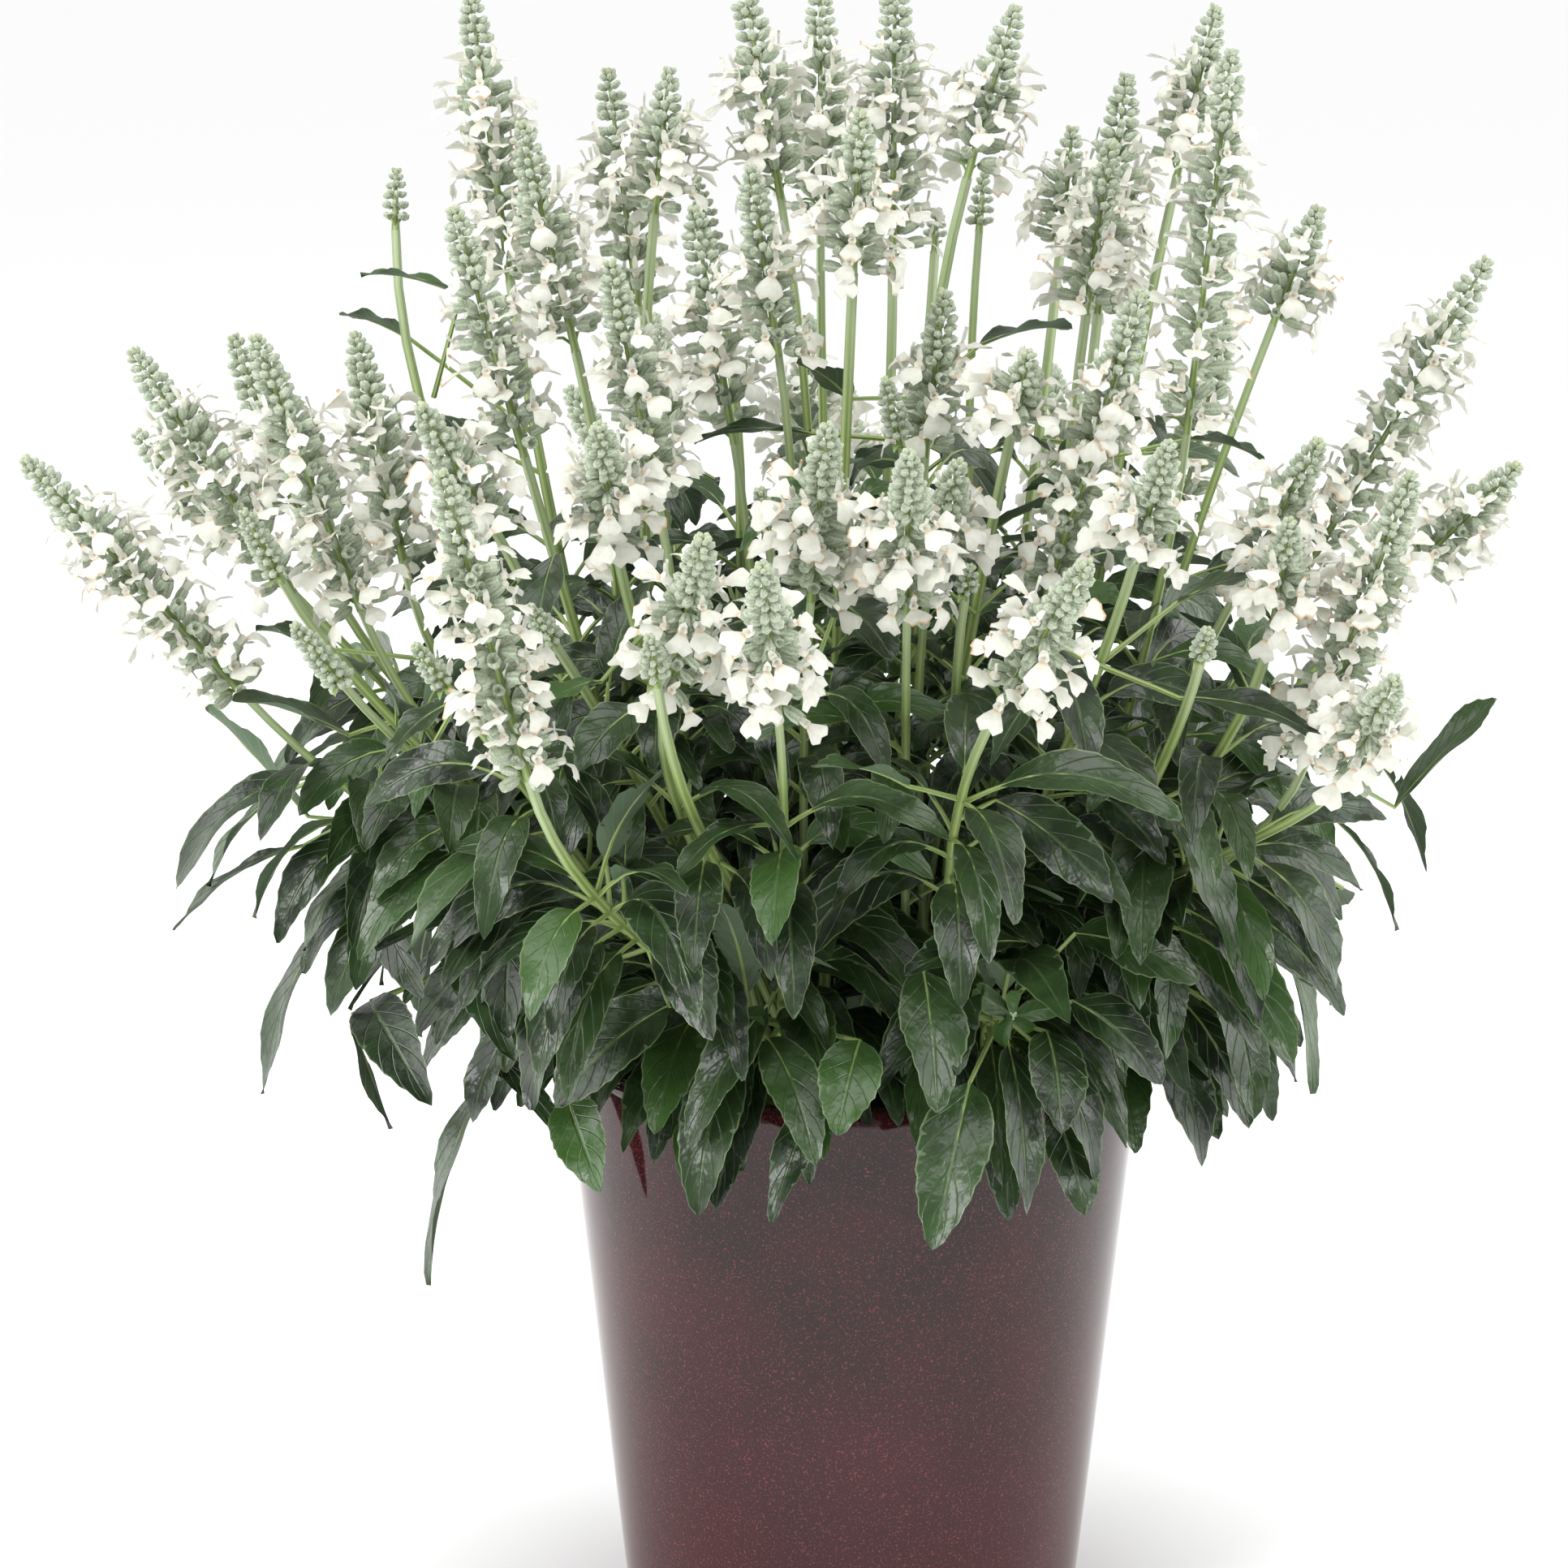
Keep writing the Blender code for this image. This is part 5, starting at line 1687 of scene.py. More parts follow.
@dataclass(frozen=True)
class Petal:
    """Corolla flesh, thin and wet with light: pure white, with an orange throat and a few tips
    that have begun to brown."""

    white: str = "#dddcd2"
    shade: str = "#ced0c0"
    throat: str = "#e8a545"
    faded: str = "#b98a4e"
    blotch: float = 3.0

    def build(self) -> Material:
        """Lays faint shade on the white, then the throat's colour and the browned tips.

        Returns:
            The material.
        """
        paint = Paint("white_salvia_petal", Roughness=0.5, Subsurface_Weight=0.3,
                      Subsurface_Scale=0.002, Subsurface_Radius=(1.0, 1.0, 0.95))
        along, _, tone = paint.marks()
        colour = paint.mixed(paint.stepped(paint.noise(self.blotch), 0.4, 0.7), self.white,
                             self.shade)
        colour = paint.mixed(paint.stepped(along, 0.16, 0.05, 0.0, 0.5), colour, self.throat)
        old = paint.worked("MULTIPLY", paint.stepped(tone, 0.86, 0.9),
                           paint.stepped(along, 0.8, 1.0))
        return paint.finished(paint.mixed(old, colour, self.faded))


@dataclass(frozen=True)
class LeafSkin:
    """A leaf's upper skin, waxed by the plant: dark green and half glossy, quilted between sunk
    pale veins, brighter while the leaf is young."""

    dark: str = "#121f0f"
    mature: str = "#263c1c"
    young: str = "#40622a"
    vein: str = "#52693f"
    margin: str = "#84986c"
    veins: float = 6.0
    blotch: float = 14.0
    quilt: float = 5.0
    depth: float = 0.65

    def build(self) -> Material:
        """Lays the young green, the veins and a pale margin on a blotched dark green.

        Returns:
            The material.
        """
        paint = Paint("waxed_leaf_upper_skin", Roughness=0.3, Specular_IOR_Level=0.6)
        along, across, tone = paint.marks()
        colour = paint.mixed(paint.stepped(paint.noise(self.blotch), 0.35, 0.65), self.dark,
                             self.mature)
        colour = paint.mixed(tone, colour, self.young)
        line = paint.worked("MULTIPLY", paint.veins(along, across, self.veins), 0.5)
        colour = paint.mixed(line, colour, self.vein)
        edge = paint.stepped(paint.worked("ABSOLUTE", across), 0.93, 1.0, 0.0, 0.7)
        colour = paint.mixed(edge, colour, self.margin)
        paint.relief(paint.worked("SUBTRACT", paint.noise(self.quilt), line), self.depth)
        return paint.finished(colour)


@dataclass(frozen=True)
class LeafUnderside:
    """A leaf's underside, finely haired: paler, greyer and dull, with raised veins."""

    grey: str = "#50644a"
    vein: str = "#7f9170"
    veins: float = 6.0
    depth: float = 0.4

    def build(self) -> Material:
        """Lays raised veins on the grey-green.

        Returns:
            The material.
        """
        paint = Paint("haired_leaf_underside", Roughness=0.7)
        along, across, _ = paint.marks()
        line = paint.veins(along, across, self.veins)
        paint.relief(line, self.depth)
        return paint.finished(paint.mixed(line, self.grey, self.vein))


@dataclass(frozen=True)
class StemSkin:
    """Square herb stem, smooth and fresh: pale green with a lighter stripe down the middle of each
    face, partly its own rib and partly painted highlight, felted near the heads.
    """

    green: str = "#7b924b"
    # pale stripe colour: partly the stem's own rib, partly painted highlight down the middle of each
    # face
    rib: str = "#b6c68c"
    felt: str = "#aebb9c"
    old: str = "#2f4520"
    ribs: float = 4.0

    def build(self) -> Material:
        """Lays a pale stripe down the middle of each face, partly the stem's own rib and partly
        painted highlight, then felt towards the end and a darker tone on old wood.

        Returns:
            The material.
        """
        paint = Paint("fresh_salvia_stem", Roughness=0.5)
        along, across, tone = paint.marks()
        saw = paint.worked("FRACT", paint.worked("MULTIPLY", across, self.ribs))
        near = paint.worked("ABSOLUTE", paint.worked("SUBTRACT", saw, 0.5))
        # painted highlight: lighter down the middle of each face, partly the stem's own rib
        colour = paint.mixed(paint.stepped(near, 0.3, 0.05, 0.0, 0.6), self.green, self.rib)
        colour = paint.mixed(paint.stepped(along, 0.8, 1.0, 0.0, 0.6), colour, self.felt)
        return paint.finished(paint.mixed(paint.worked("MULTIPLY", tone, 0.2), colour, self.old))


# The plant's pieces

def cup(heights: tuple, radii: tuple, sides: int, end: float) -> Shape:
    """A round cup along Z.

    Args:
        heights: The height of each ring.
        radii: The radius of each ring.
        sides: The points of each ring.
        end: The height of the closing point, which may lie inside the cup.

    Returns:
        The closed cup.
    """
    z = np.array(heights)
    path = np.stack([0 * z, 0 * z, z], 1)
    return tube(path, ACROSS, np.array(radii), round_section(sides), np.array([0, 0, end]))


def calyx_shape() -> Shape:
    """A ribbed cup one millimetre long, cut off flat, that closes well inside its mouth."""
    return cup((0.0, 0.18, 0.6, 0.95), (0.1, 0.23, 0.3, 0.26), 7, 0.5)


def bud_shape() -> Shape:
    """A plump oval bud one millimetre long."""
    return cup((0.0, 0.3, 0.74), (0.17, 0.37, 0.33), 5, 0.98)


def bract_shape() -> Shape:
    """A narrow leaf along Z, one millimetre long, that bows outwards along Y.

    Returns:
        The closed leaf, half a sine wide and bowed by another.
    """
    u = np.linspace(0, 1, 5)[:, None]
    v = np.array([1.0, 0.0, -1.0])[None, :]
    x = 0.17 * v * np.sin(math.pi * (0.12 + 0.84 * u)) ** 0.8
    y = 0.3 * np.sin(0.9 * math.pi * u) + 0.06 * v**2
    z = u + 0 * v
    return pillow(np.stack([x, y, z], -1), 0.05, u[:, 0], v[0])


@dataclass(frozen=True)
class Corolla:
    """One open flower in millimetres, with Z out of the calyx and Y up the head: a tube, a finger
    for an upper lip and a broad, notched lower lip."""

    rise: float = 50.0
    finger: float = 6.2
    droop: float = 35.0
    lip: float = 10.5
    half_width: float = 5.2
    notch: float = 1.9

    def shape(self) -> Shape:
        """The flower's closed surfaces."""
        return joined(self._tube(), self._upper_lip(), self._lower_lip())

    def _tube(self) -> Shape:
        """A short tube that widens outwards, with its closing point deep in the throat.

        Returns:
            The tube.
        """
        shape = cup((-3.0, 4.6), (1.3, 2.0), 6, 2.1)
        marks = np.column_stack([np.full(len(shape.points), 0.4), shape.marks[:, 1]])
        marks[-1, 0] = 0.0
        return Shape(shape.points, shape.faces, marks)

    def _upper_lip(self) -> Shape:
        """A straight finger on the rise's angle: its width is a half wave, and its middle is
        raised into a hood.

        Returns:
            The closed lip.
        """
        u = np.array([0.0, 0.4, 0.8, 1.0])[:, None]
        v = np.array([1.0, 0.0, -1.0])[None, :]
        angle = math.radians(self.rise)
        half = 1.5 * np.sin(math.pi * (0.25 + 0.66 * u)) ** 0.6
        raised = 0.8 * (1 - v**2) * (0.5 + u)
        y = 1.2 + self.finger * math.sin(angle) * u + raised * math.cos(angle)
        z = 4.0 + self.finger * math.cos(angle) * u - raised * math.sin(angle)
        grid = np.stack(np.broadcast_arrays(half * v, y, z), -1)
        return pillow(grid, 0.7, 0.4 + 0.6 * u[:, 0], v[0])

    def _lower_lip(self) -> Shape:
        """A fan on an arc that bends down by the droop's angle. Its half width grows as a sine of
        the share along, its end is cut in by the notch and its edge is ruffled by a cosine.

        Returns:
            The closed lip.
        """
        u = np.array([0.0, 0.4, 0.8, 1.0])[:, None]
        v = np.array([1.0, 0.5, 0.0, -0.5, -1.0])[None, :]
        bend = math.radians(12 + self.droop * 0.5) * u**0.7 + 0.2
        width = np.sin(0.5 * math.pi * np.clip(1.3 * u - 0.12, 0.0, 1.25))
        half = 1.4 + (self.half_width - 1.4) * width
        cut = self.notch * (1 - np.abs(v)) ** 1.3 * u**4 + 2.4 * np.abs(v) ** 3 * u**2
        reach = self.lip * u - cut
        ruffle = 0.55 * np.cos(2.2 * math.pi * v) * u**2 + 0.8 * v**2 * u
        y = -1.3 - reach * np.sin(bend) + ruffle
        z = 4.2 + reach * np.cos(bend)
        grid = np.stack(np.broadcast_arrays(half * v, y, z), -1)
        return pillow(grid, 0.45, u[:, 0], v[0])


COROLLAS = (Corolla(), Corolla(62.0, 5.6, 70.0, 10.0, 5.2, 2.3),
            Corolla(40.0, 6.8, 10.0, 11.5, 6.2, 1.5), Corolla(52.0, 5.9, 100.0, 10.5, 5.6, 1.8))


class HeadSlot(Enum):
    """The materials of a flower head, in their order."""

    FELT = 0
    PETAL = 1
    RACHIS = 2


@dataclass
class Whorls:
    """Numbers of one head's calyces, one entry each: from the tip down and round the rachis."""

    below_tip: Array
    angle: Array
    lower_tier: Array
    closed: Array


@dataclass
class FlowerHeads:
    """Spikes of whorls: felted calyces, white flowers low down and a cone of buds at the tip.

    Lengths are in millimetres. The step between whorls grows with the distance from the tip.
    """

    heads: list[Head]
    tip_step: float = 2.9
    step_growth: float = 0.11
    longest_step: float = 11.0
    loose_chance: float = 0.3
    loose_share: float = 0.5
    cone: float = 36.0
    cone_share: float = 0.44
    most_whorls: int = 60
    golden_turn: float = 0.381966
    turn_spread: float = 0.17
    drop_spread: float = 0.6
    lower_drop: float = 1.6
    upper_lift: float = 1.8
    tip_pitch: float = 28.0
    cone_pitch: float = 66.0
    lower_pitch: float = 84.0
    upper_pitch: float = 54.0
    pitch_spread: float = 8.0
    bud_length: float = 3.6
    calyx_length: float = 7.8
    lower_stalk: float = 4.4
    upper_stalk: float = 3.6
    spin: float = 0.45
    young_size: float = 0.8
    open_chance: float = 0.62
    ripe_at: float = 36.0
    rachis_rows: int = 7
    rachis_share: float = 0.985
    bract_length: float = 9.0

    def build(self, batch: MeshBatch, first: int = 0) -> None:
        """Adds every head to the batch.

        Args:
            batch: The mesh to add to.
            first: The number of the felt's slot in it.
        """
        shapes = calyx_shape(), bud_shape(), bract_shape()
        flowers = [corolla.shape() for corolla in COROLLAS]
        for head in self.heads:
            self._add_head(batch, head, shapes, flowers, first)

    def _whorls(self, head: Head, rng: np.random.Generator) -> Whorls:
        """Places the whorls.

        Where the step is the tip's plus the growth times the distance t from the tip, whorl k lies
        at t = tip's step / growth * (exp(growth * k) - 1), until the step is at its longest. A
        whorl of the cone is one ring of buds, and one below it two tiers of calyces.

        Args:
            head: The flower head.
            rng: The head's own chance.

        Returns:
            One entry for each calyx.
        """
        loose = rng.uniform() > 1 - self.loose_chance
        longest = self.longest_step * (1.0 + self.loose_share * loose)
        k = np.arange(self.most_whorls)
        even = (longest - self.tip_step) / self.step_growth
        turning = math.log(1 + even * self.step_growth / self.tip_step) / self.step_growth
        grown = self.tip_step / self.step_growth * np.expm1(self.step_growth * k)
        t = np.where(k < turning, grown, even + (k - turning) * longest) + 1.5
        t = t[t < head.length - 2.0]
        cone = math.inf if head.young else min(self.cone, self.cone_share * head.length)
        closed = t < cone
        counts = np.where(t < 6, 5, np.where(t < 14, 7, np.where(closed, 8, 10)))
        whorl = np.repeat(np.arange(len(t)), counts)
        order = np.concatenate([np.arange(n) for n in counts])
        angle = 2 * math.pi * (order / counts[whorl] + self.golden_turn * whorl)
        lower = (order % 2 == 1) & ~closed[whorl]
        angle += rng.uniform(-self.turn_spread, self.turn_spread, len(whorl))
        return Whorls(t[whorl], angle, lower, closed[whorl])

    def _add_head(self, batch: MeshBatch, head: Head, shapes: tuple[Shape, Shape, Shape],
                  flowers: list[Shape], first: int) -> None:
        """Adds one head.

        Args:
            batch: The mesh to add to.
            head: The head's axis.
            shapes: One open calyx, one bud and one bract.
            flowers: The kinds of open flower.
            first: The number of the felt's slot.
        """
        calyx, bud, bract = shapes
        felt, petal, rachis = (first + s.value for s in HeadSlot)
        rng = np.random.default_rng(sum(ord(c) * (i + 3) for i, c in enumerate(head.name)))
        axis = unit(head.tip - head.foot)
        u, v = frame_round(axis, HEAD_SIDE)
        w = self._whorls(head, rng)
        size, count = self.young_size if head.young else 1.0, len(w.angle)
        t = w.below_tip + rng.uniform(-self.drop_spread, self.drop_spread, count)
        t += np.where(w.lower_tier, self.lower_drop, 0.0)
        t -= np.where(~w.lower_tier & ~w.closed, self.upper_lift, 0.0)
        ripe = np.clip(t / self.ripe_at, 0.0, 1.0)
        steep = self.tip_pitch + (self.cone_pitch - self.tip_pitch) * np.clip(t / 12.0, 0.0, 1.0)
        pitch = np.where(w.closed, steep,
                         np.where(w.lower_tier, self.lower_pitch, self.upper_pitch))
        pitch += rng.uniform(-self.pitch_spread, self.pitch_spread, count)
        pitch = np.radians(pitch)
        outward = swung(pitch, axis, swung(w.angle, u, v))
        upward = unit_rows(axis - outward * (outward @ axis)[:, None])
        frames = np.stack([np.cross(upward, outward), upward, outward], 1)
        aged = np.clip((t - self.ripe_at) / 50, 0, 1)
        long = np.where(w.closed, self.bud_length + 3.0 * ripe, self.calyx_length + 1.2 * aged)
        long = long * rng.uniform(0.9, 1.1, count) * size
        stalk = np.where(w.closed, 1.0 + 1.9 * np.clip(t / 10.0, 0.0, 1.0) + 0.6 * ripe,
                         np.where(w.lower_tier, self.lower_stalk, self.upper_stalk)) * size
        origins = head.tip - axis * t[:, None] + outward * stalk[:, None]
        tones = 0.5 * rng.uniform(0, 1, count) + 0.5 * np.clip(1 - t / 9.0, 0, 1)
        sizes = long[:, None] * np.ones(3)
        opened = ~w.closed
        batch.stamp(calyx, origins[opened], frames[opened], sizes[opened], felt, tones[opened])
        batch.stamp(bud, origins[w.closed], frames[w.closed], sizes[w.closed], felt,
                    tones[w.closed])
        bloom = opened & (rng.uniform(0, 1, count) < self.open_chance)
        kinds = rng.integers(0, len(flowers), count)
        mouths = origins + outward * (0.85 * long)[:, None]
        across = swung(rng.uniform(-self.spin, self.spin, count), frames[:, 0], frames[:, 1])
        spun = np.stack([across, np.cross(frames[:, 2], across), frames[:, 2]], 1)
        wide = rng.uniform(0.82, 1.1, count)[:, None] * np.ones(3)
        old = rng.uniform(0, 1, count)
        for kind, flower in enumerate(flowers):
            pick = bloom & (kinds == kind)
            batch.stamp(flower, mouths[pick], spun[pick], wide[pick], petal, old[pick])
        shares = np.linspace(0.0, 1.0, self.rachis_rows)[:, None]
        path = head.foot + axis * (self.rachis_share * head.length * shares - (shares == 0))
        batch.add(tube(path, u[None], 2.0 - 1.3 * shares[:, 0], square_section()), rachis, 0.5)
        self._add_bracts(batch, head, bract, (axis, u, v), rachis)

    def _add_bracts(self, batch: MeshBatch, head: Head, bract: Shape,
                    directions: tuple[Array, ...], slot: int) -> None:
        """Adds a pair of small bracts under the lowest whorl.

        Args:
            batch: The mesh to add to.
            head: The flower head.
            bract: The bract's shape.
            directions: The head's axis and two directions square to it.
            slot: The bracts' material.
        """
        axis, u, v = directions
        for out in (u, -u, v, -v)[:: 2 if len(head.name) % 2 else 1][:2]:
            outward = unit(out + 0.35 * axis)
            side = unit(np.cross(axis, outward))
            rows = np.stack([side, np.cross(outward, side), outward])[None]
            origin = head.foot + 1.5 * axis + 1.2 * out
            batch.stamp(bract, origin[None], rows, np.full((1, 3), self.bract_length), slot,
                        np.array([0.0]))


class LeafySlot(Enum):
    """The materials of a clump of leafy stems, in their order."""

    UPPER = 0
    UNDER = 1
    STEM = 2
    FELT = 3
    PETAL = 4
    RACHIS = 5


@dataclass
class LeafBlade:
    """A lanceolate blade with shallow teeth, waved edges and a fold along its midrib."""

    rows: int = 19
    thickness: float = 0.6
    teeth: float = 0.022
    fold: float = 0.2
    wave: float = 1.3
    twist: float = 0.5
    most_young: float = 0.8
    young_power: float = 3.2

    def add(self, batch: MeshBatch, leaf: Leaf) -> None:
        """Adds the leaf's blade and stalk to the batch.

        Args:
            batch: The mesh to add to.
            leaf: The leaf.
        """
        rng = random.Random("blade " + leaf.name)
        tone = self.most_young * rng.random() ** self.young_power
        across = np.array([1.0, 0.55, 0.0, -0.55, -1.0])
        along = np.linspace(0.0, 1.0, self.rows)
        grid = self._grid(leaf, along, across, rng)
        batch.add(pillow(grid, self.thickness, along, across),
                  (LeafySlot.UPPER.value, LeafySlot.UNDER.value), tone)
        shares = np.linspace(0, 0.75, 5)[:, None]
        mid = np.stack([np.interp(shares[:, 0], along, grid[:, 2, i]) for i in range(3)], 1)
        normal = unit_rows(np.cross(grid[:, 1] - grid[:, 3], np.gradient(grid[:, 2], axis=0)))
        below = np.stack([np.interp(shares[:, 0], along, normal[:, i]) for i in range(3)], 1)
        start = unit(leaf.foot - leaf.root)
        stalk = leaf.root - 1.0 * start + (mid[0] - leaf.root) * np.array([[0.0], [0.35], [0.75]])
        path = np.vstack([stalk, mid + 0.35 * below])
        radii = np.array([1.3, 1.1, 1.0, 0.95, 0.8, 0.6, 0.42, 0.25])
        batch.add(tube(path, leaf_facing(leaf)[None], radii, round_section(5)),
                  LeafySlot.STEM.value, STALK_TONE)

    def _grid(self, leaf: Leaf, along: Array, across: Array, rng: random.Random) -> Array:
        """Works out the upper face.

        The midline is a parabola from foot to tip. The half width is the sine of pi times the
        share along to the power 0.85, itself to the power 0.75, and every second row is a tooth.
        The edges rise by the fold and by a wave whose phase differs from side to side.

        Args:
            leaf: The leaf's midline and width.
            along: The share along of each row.
            across: The share across of each column.
            rng: The leaf's own chance.

        Returns:
            Rows and columns of points.
        """
        t = along[:, None]
        mid = leaf.midline(along)
        tangent = unit_rows(np.gradient(mid, axis=0))
        facing = leaf_facing(leaf)
        normal = unit_rows(facing - tangent * (tangent @ facing)[:, None])
        side = np.cross(normal, tangent)
        roll = leaf.roll + rng.uniform(-self.twist, self.twist) * along
        side, normal = swung(roll, side, normal), swung(roll, normal, -side)
        half = 0.52 * leaf.width * np.sin(math.pi * along**0.85) ** 0.75 + 0.3
        tooth = np.where(np.arange(self.rows) % 2, 1.0, -1.0) * self.teeth * (along < 0.97)
        length = np.linalg.norm(leaf.tip - leaf.foot)
        v = across[None, :, None]
        half = (half * (1 + tooth))[:, None, None]
        half = np.where(np.abs(v) > 0.9, half, half / (1 + tooth[:, None, None]))
        turns = rng.uniform(1.4, 2.4)
        phase = rng.uniform(0, 1)
        swell = np.sin(2 * math.pi * (turns * t[:, None] + phase + 0.21 * np.sign(v))) * v**2
        lift = self.fold * half * np.abs(v) ** 1.3 + self.wave * swell * (t[:, None] * 4).clip(0, 1)
        forward = 0.018 * length * (tooth[:, None, None] > 0) * (np.abs(v) > 0.9)
        return (mid[:, None] + side[:, None] * half * v + normal[:, None] * lift
                + tangent[:, None] * forward)


@dataclass
class LeafyStems:
    """One crown in the soil with the stems that grow from it, their leaves and young heads."""

    number: int
    place: Array
    stems: list[Stem]
    heads: list[Head]
    rows: int = 16
    stem_share: float = 1.05
    tuft: int = 6
    tuft_turn: float = 2.4
    tuft_leans: tuple[float, float] = (14.0, 62.0)
    tuft_lengths: tuple[float, float] = (9.0, 24.0)

    def build(self, materials: list[Material]) -> bpy.types.Object:
        """Makes the clump.

        Args:
            materials: One for each entry of LeafySlot.

        Returns:
            The piece.
        """
        batch = MeshBatch()
        blade = LeafBlade()
        self._add_crown(batch)
        for stem in self.stems:
            self._add_stem(batch, stem)
            for leaf in list(stem.leaves.values()) + stem.extra:
                blade.add(batch, leaf)
        FlowerHeads(self.heads).build(batch, LeafySlot.FELT.value)
        name = f"leafy_stems_{self.number:02d}"
        return batch.build("dressed_" + name, materials, scene_slot="foliage", nodes=(name,))

    def _add_crown(self, batch: MeshBatch) -> None:
        """Adds the crown: a round knob by the CAD part's radii and heights.

        Args:
            batch: The mesh to add to.
        """
        radii = np.array([r for r, _ in CROWN_PROFILE])
        heights = np.array([h for _, h in CROWN_PROFILE])
        steps = np.linspace(0, len(radii) - 1, 9)
        radius = np.interp(steps, np.arange(len(radii)), radii)
        height = np.interp(steps, np.arange(len(radii)), heights)
        path = self.place + np.stack([0 * height, 0 * height, height], 1)
        batch.add(tube(path, ACROSS, radius * 0.98, round_section(10)), LeafySlot.STEM.value,
                  CROWN_TONE)

    def _add_stem(self, batch: MeshBatch, stem: Stem) -> None:
        """Adds a stem: a rounded square along its cubic curve, thinner towards its end.

        Args:
            batch: The mesh to add to.
            stem: The stem.
        """
        shares = np.linspace(0, 1, self.rows)
        path = bezier(stem.controls, shares)
        core = self.place + np.array([0.0, 0.0, 5.0])
        path = np.vstack([core + 0.3 * (path[0] - core), path])
        level = level_side(stem)
        radii = np.concatenate([[CORE_RADIUS],
                                stem.radius + shares * (STEM_TIP_RADIUS - stem.radius)])
        batch.add(tube(path, level[None], self.stem_share * radii, square_section()),
                  LeafySlot.STEM.value, STEM_TONE)
        if stem.name.startswith("shoot"):
            self._add_tuft(batch, path, level)

    def _add_tuft(self, batch: MeshBatch, path: Array, level: Array) -> None:
        """Adds a shoot's young leaves: each stands a fixed turn round and leans out further.

        Args:
            batch: The mesh to add to.
            path: The shoot's axis.
            level: A direction across it.
        """
        ahead = unit(path[-1] - path[-2])
        side, other = frame_round(ahead, level)
        radial = swung(np.arange(self.tuft) * self.tuft_turn, side, other)
        lean = np.radians(np.linspace(*self.tuft_leans, self.tuft))
        outward, upward = swung(lean, ahead, radial), swung(lean, radial, -ahead)
        frames = np.stack([np.cross(upward, outward), upward, outward], 1)
        sizes = np.linspace(*self.tuft_lengths, self.tuft)[:, None] * np.array([1.3, 1.0, 1.0])
        batch.stamp(bract_shape(), path[-1] + 0.6 * radial, frames, sizes,
                    LeafySlot.UPPER.value, np.linspace(0.95, 0.5, self.tuft))


@dataclass
class GlazedPot:
    """The tapered pot: a foot, a straight wall, a round lip and a plain inside."""

    sides: int = 128
    lip: float = 8.0
    foot_height: float = 4.0
    foot_steps: tuple[tuple[float, float], ...] = ((4.0, 0.0), (1.2, 1.0), (0.2, 2.4))
    lip_rows: int = 13
    wall_rows: int = 14
    inside_rows: int = 8
    floor_round: float = 3.0

    def build(self, glaze: Material) -> bpy.types.Object:
        """Turns the profile round the axis, and closes it with a flat base and floor.

        The lip is half an ellipse. The wall's radius grows evenly with the height.

        Args:
            glaze: The pot's material.

        Returns:
            The pot.
        """
        low, top = POT_BASE_RADIUS, POT_TOP_RADIUS
        slope = (top - low) / POT_HEIGHT
        inner, shoulder = low - POT_WALL, POT_HEIGHT - self.lip
        turn = np.linspace(0, math.pi, self.lip_rows)
        lip = np.stack([top - 0.5 * POT_WALL * (1 - np.cos(turn)),
                        shoulder + self.lip * np.sin(turn)], 1)
        up = np.linspace(self.foot_height, shoulder, self.wall_rows)[:-1]
        share = (up - self.foot_height) / (shoulder - self.foot_height)
        wall = np.stack([low + (top - low) * share, up], 1)
        down = np.linspace(shoulder, POT_FLOOR + self.floor_round, self.inside_rows)[1:]
        inside = np.stack([inner + slope * down, down], 1)
        foot = np.array([[low - step, height] for step, height in self.foot_steps])
        floor = np.array([[inner + slope * POT_FLOOR - self.floor_round, POT_FLOOR]])
        radius, height = np.vstack([foot, wall, lip, inside, floor]).T[:, :, None]
        ring = round_section(self.sides)
        points = np.stack([radius * ring[:, 0], radius * ring[:, 1],
                           np.broadcast_to(height, (len(height), self.sides))], 2)
        batch = MeshBatch()
        batch.add(turned_surface(points, 0.0, POT_FLOOR), 0, 0.0)
        return batch.build("glazed_pot", [glaze], 35.0, "pot_glaze", ("pot",))


@dataclass
class SoilBed:
    """The potting soil: a crumbled surface that closes down to the pot's floor."""

    rings: int = 40
    sides: int = 90
    relief: float = 0.64
    sunk: float = 1.0

    def build(self, soil: Material) -> bpy.types.Object:
        """Turns rings of soil, with each point of its surface raised by a sum of sines of its x
        and y.

        Args:
            soil: The soil's material.

        Returns:
            The bed.
        """
        low = POT_BASE_RADIUS - POT_WALL
        reach = low + (POT_TOP_RADIUS - POT_BASE_RADIUS) / POT_HEIGHT * SOIL_TOP - GAP
        radii = np.concatenate([[low - 3.0, low + 1.0, reach],
                                np.linspace(reach, 1.5, self.rings)[1:]])
        x, y = (radii[:, None] * axis for axis in round_section(self.sides).T)
        bumps = (np.sin(0.31 * x + 1.3 * np.sin(0.17 * y))
                 + np.sin(0.43 * y + 1.7 * np.sin(0.23 * x)) + 0.5 * np.sin(0.9 * x + 0.8 * y))
        z = SOIL_TOP + self.relief * bumps - self.sunk
        z[:3] = np.array([[POT_FLOOR + GAP], [POT_FLOOR + GAP + 4.0], [SOIL_TOP - self.sunk]])
        batch = MeshBatch()
        batch.add(turned_surface(np.stack([x, y, z], -1), POT_FLOOR + GAP, SOIL_TOP - self.sunk),
                  0, 0.0)
        return batch.build("soil_bed", [soil], 60.0, "potting_soil", ("soil",))


@dataclass(frozen=True)
class Softbox:
    """A soft light: its place and size in metres and its power in watts."""

    name: str
    place: tuple[float, float, float]
    size: tuple[float, float]
    watts: float

    def build(self, aim: Vector) -> None:
        """Adds the light.

        Args:
            aim: The point that it looks at.
        """
        data = bpy.data.lights.new(self.name, "AREA")
        data.shape, data.energy = "RECTANGLE", self.watts
        data.size, data.size_y = self.size
        light = add_object(self.name, data)
        light.location = self.place
        light.rotation_euler = (aim - light.location).to_track_quat("-Z", "Y").to_euler()


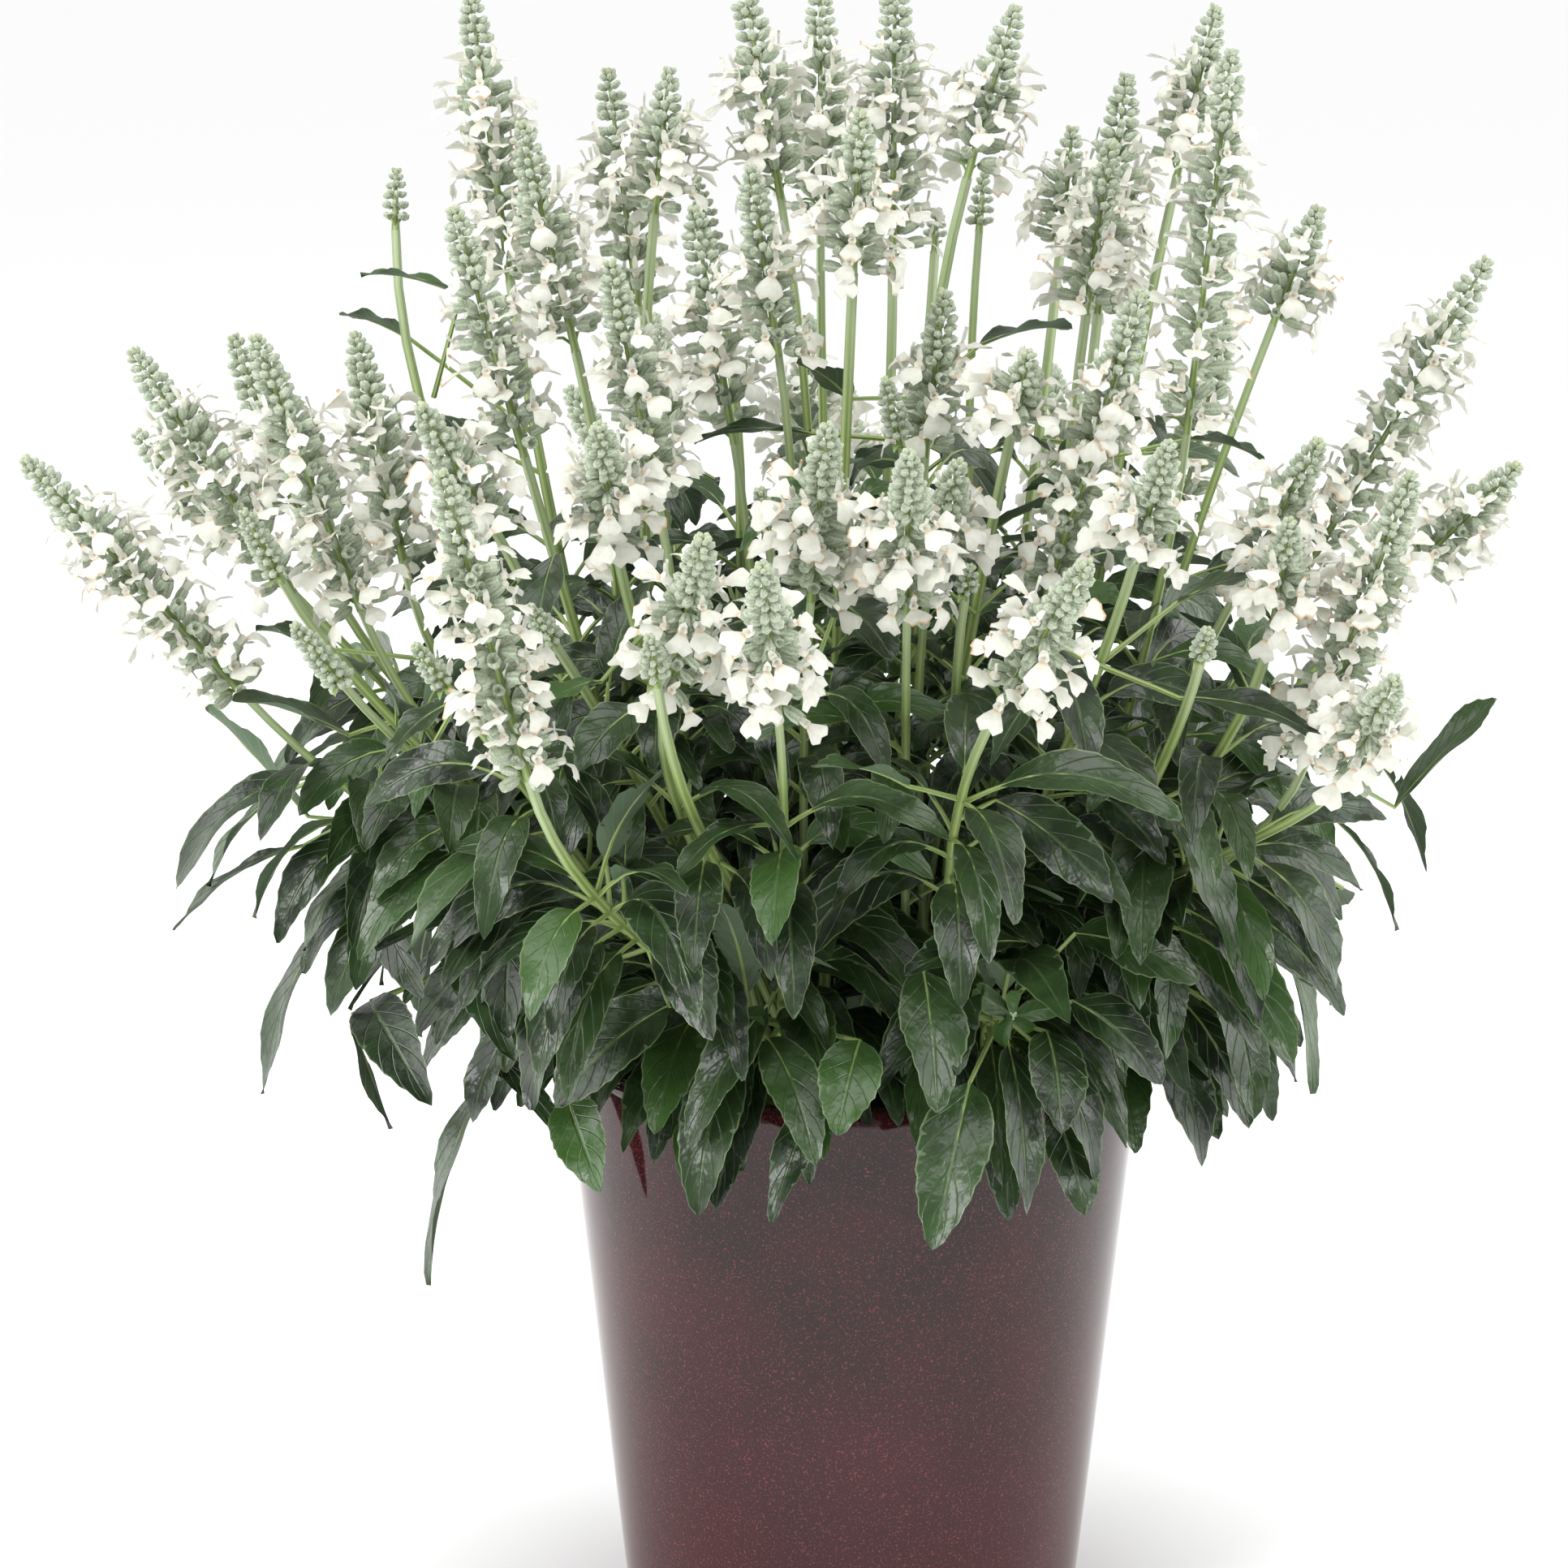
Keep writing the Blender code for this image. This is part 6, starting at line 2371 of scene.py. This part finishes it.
SOFTBOXES = (
    Softbox("left_softbox", (-1.6, -1.6, 1.5), (0.9, 1.3), 32.0),
    Softbox("right_softbox", (1.8, -1.2, 1.3), (0.7, 1.3), 17.0),
    Softbox("left_panel", (-2.2, 0.5, 0.9), (2.8, 2.4), 46.0),
    Softbox("right_panel", (2.2, 0.5, 0.9), (2.8, 2.4), 42.0),
)


@dataclass
class Studio:
    """A plain pale floor under soft lights, and the camera at the photograph's place."""

    lens: float = 128.6
    sensor: float = 36.0
    farthest: float = 50.0
    floor_size: float = 80.0
    floor_grey: float = 0.93
    world_strength: float = 0.38
    sun_strength: float = 2.2
    sun_spread: float = 60.0
    sun_tilt: float = 12.0
    aim: tuple[float, float, float] = (0.0, 0.0, 0.3)

    def build(self) -> None:
        """Makes the floor, the lights, the world and the camera."""
        self._floor()
        self._world()
        for softbox in SOFTBOXES:
            softbox.build(Vector(self.aim))
        self._overhead()
        self._camera()

    def _floor(self) -> None:
        """Adds the floor, which is no part of the object."""
        half = self.floor_size / 2
        mesh = bpy.data.meshes.new("floor")
        mesh.from_pydata([(-half, -half, 0), (half, -half, 0), (half, half, 0), (-half, half, 0)],
                         [], [(0, 1, 2, 3)])
        grey = (self.floor_grey,) * 3 + (1.0,)
        mesh.materials.append(Paint("matt_studio_floor", Base_Color=grey, Roughness=0.9,
                                    Specular_IOR_Level=0.1).material)
        floor = add_object("floor", mesh)

    def _world(self) -> None:
        """Lights the scene evenly from all round."""
        world = bpy.data.worlds.new("soft_studio")
        world.use_nodes = True
        background = world.node_tree.nodes["Background"]
        background.inputs["Color"].default_value = (1.0, 1.0, 1.0, 1.0)
        background.inputs["Strength"].default_value = self.world_strength
        bpy.context.scene.world = world

    def _overhead(self) -> None:
        """Adds a wide, soft light from above that keeps the floor white all over."""
        data = bpy.data.lights.new("overhead", "SUN")
        data.energy = self.sun_strength
        data.angle = math.radians(self.sun_spread)
        add_object("overhead", data).rotation_euler = (math.radians(self.sun_tilt), 0.0, 0.0)

    def _camera(self) -> None:
        """Puts the camera at the photograph's distance and pitch."""
        data = bpy.data.cameras.new("camera")
        data.lens, data.sensor_width, data.clip_end = self.lens, self.sensor, self.farthest
        camera = add_object("camera", data)
        forward = Vector((0.0, math.cos(EYE_PITCH), -math.sin(EYE_PITCH)))
        camera.location = Vector(AIM * MM) - forward * EYE_DISTANCE * MM
        camera.rotation_euler = forward.to_track_quat("-Z", "Y").to_euler()
        bpy.context.scene.camera = camera
        bpy.context.scene.view_settings.view_transform = "Standard"


@dataclass
class PottedSalvia:
    """The whole object: pot, soil, leafy stems and flower heads."""

    heads_a_piece: int = 11

    def build(self) -> None:
        """Plans the plant, then makes and dresses each piece."""
        plan = PlantPlan()
        leaves = sum(len(s.leaves) for s in plan.stems)
        extra = sum(len(s.extra) for s in plan.stems)
        log.info("%d leaves of the CAD part and %d more", leaves, extra)
        felt, petal, stem = CalyxFelt().build(), Petal().build(), StemSkin().build()
        GlazedPot().build(OxbloodGlaze().build())
        SoilBed().build(PottingSoil().build())
        foliage = [LeafSkin().build(), LeafUnderside().build(), stem, felt, petal, stem]
        young = {h.name: h for h in plan.heads[plan.shown:]}
        for i, place in enumerate(plan.crowns):
            own = [s for s in plan.stems if s.crown == i]
            heads = [young[s.name] for s in own if s.name in young]
            LeafyStems(i + 1, place, own, heads).build(foliage)
        for i in range(0, plan.shown, self.heads_a_piece):
            some = plan.heads[i : i + self.heads_a_piece]
            batch = MeshBatch()
            FlowerHeads(some).build(batch)
            batch.build(f"flower_heads_{i // self.heads_a_piece + 1}", [felt, petal, stem],
                        scene_slot="flower_heads", nodes=tuple(h.name for h in some))


def main() -> None:
    """Builds the object and its studio, and logs the leaf count and each piece's triangle count."""
    logging.basicConfig(level=logging.INFO, format="%(message)s", stream=sys.stdout)
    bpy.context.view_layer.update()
    PottedSalvia().build()
    Studio().build()


if __name__ == "__main__":
    main()
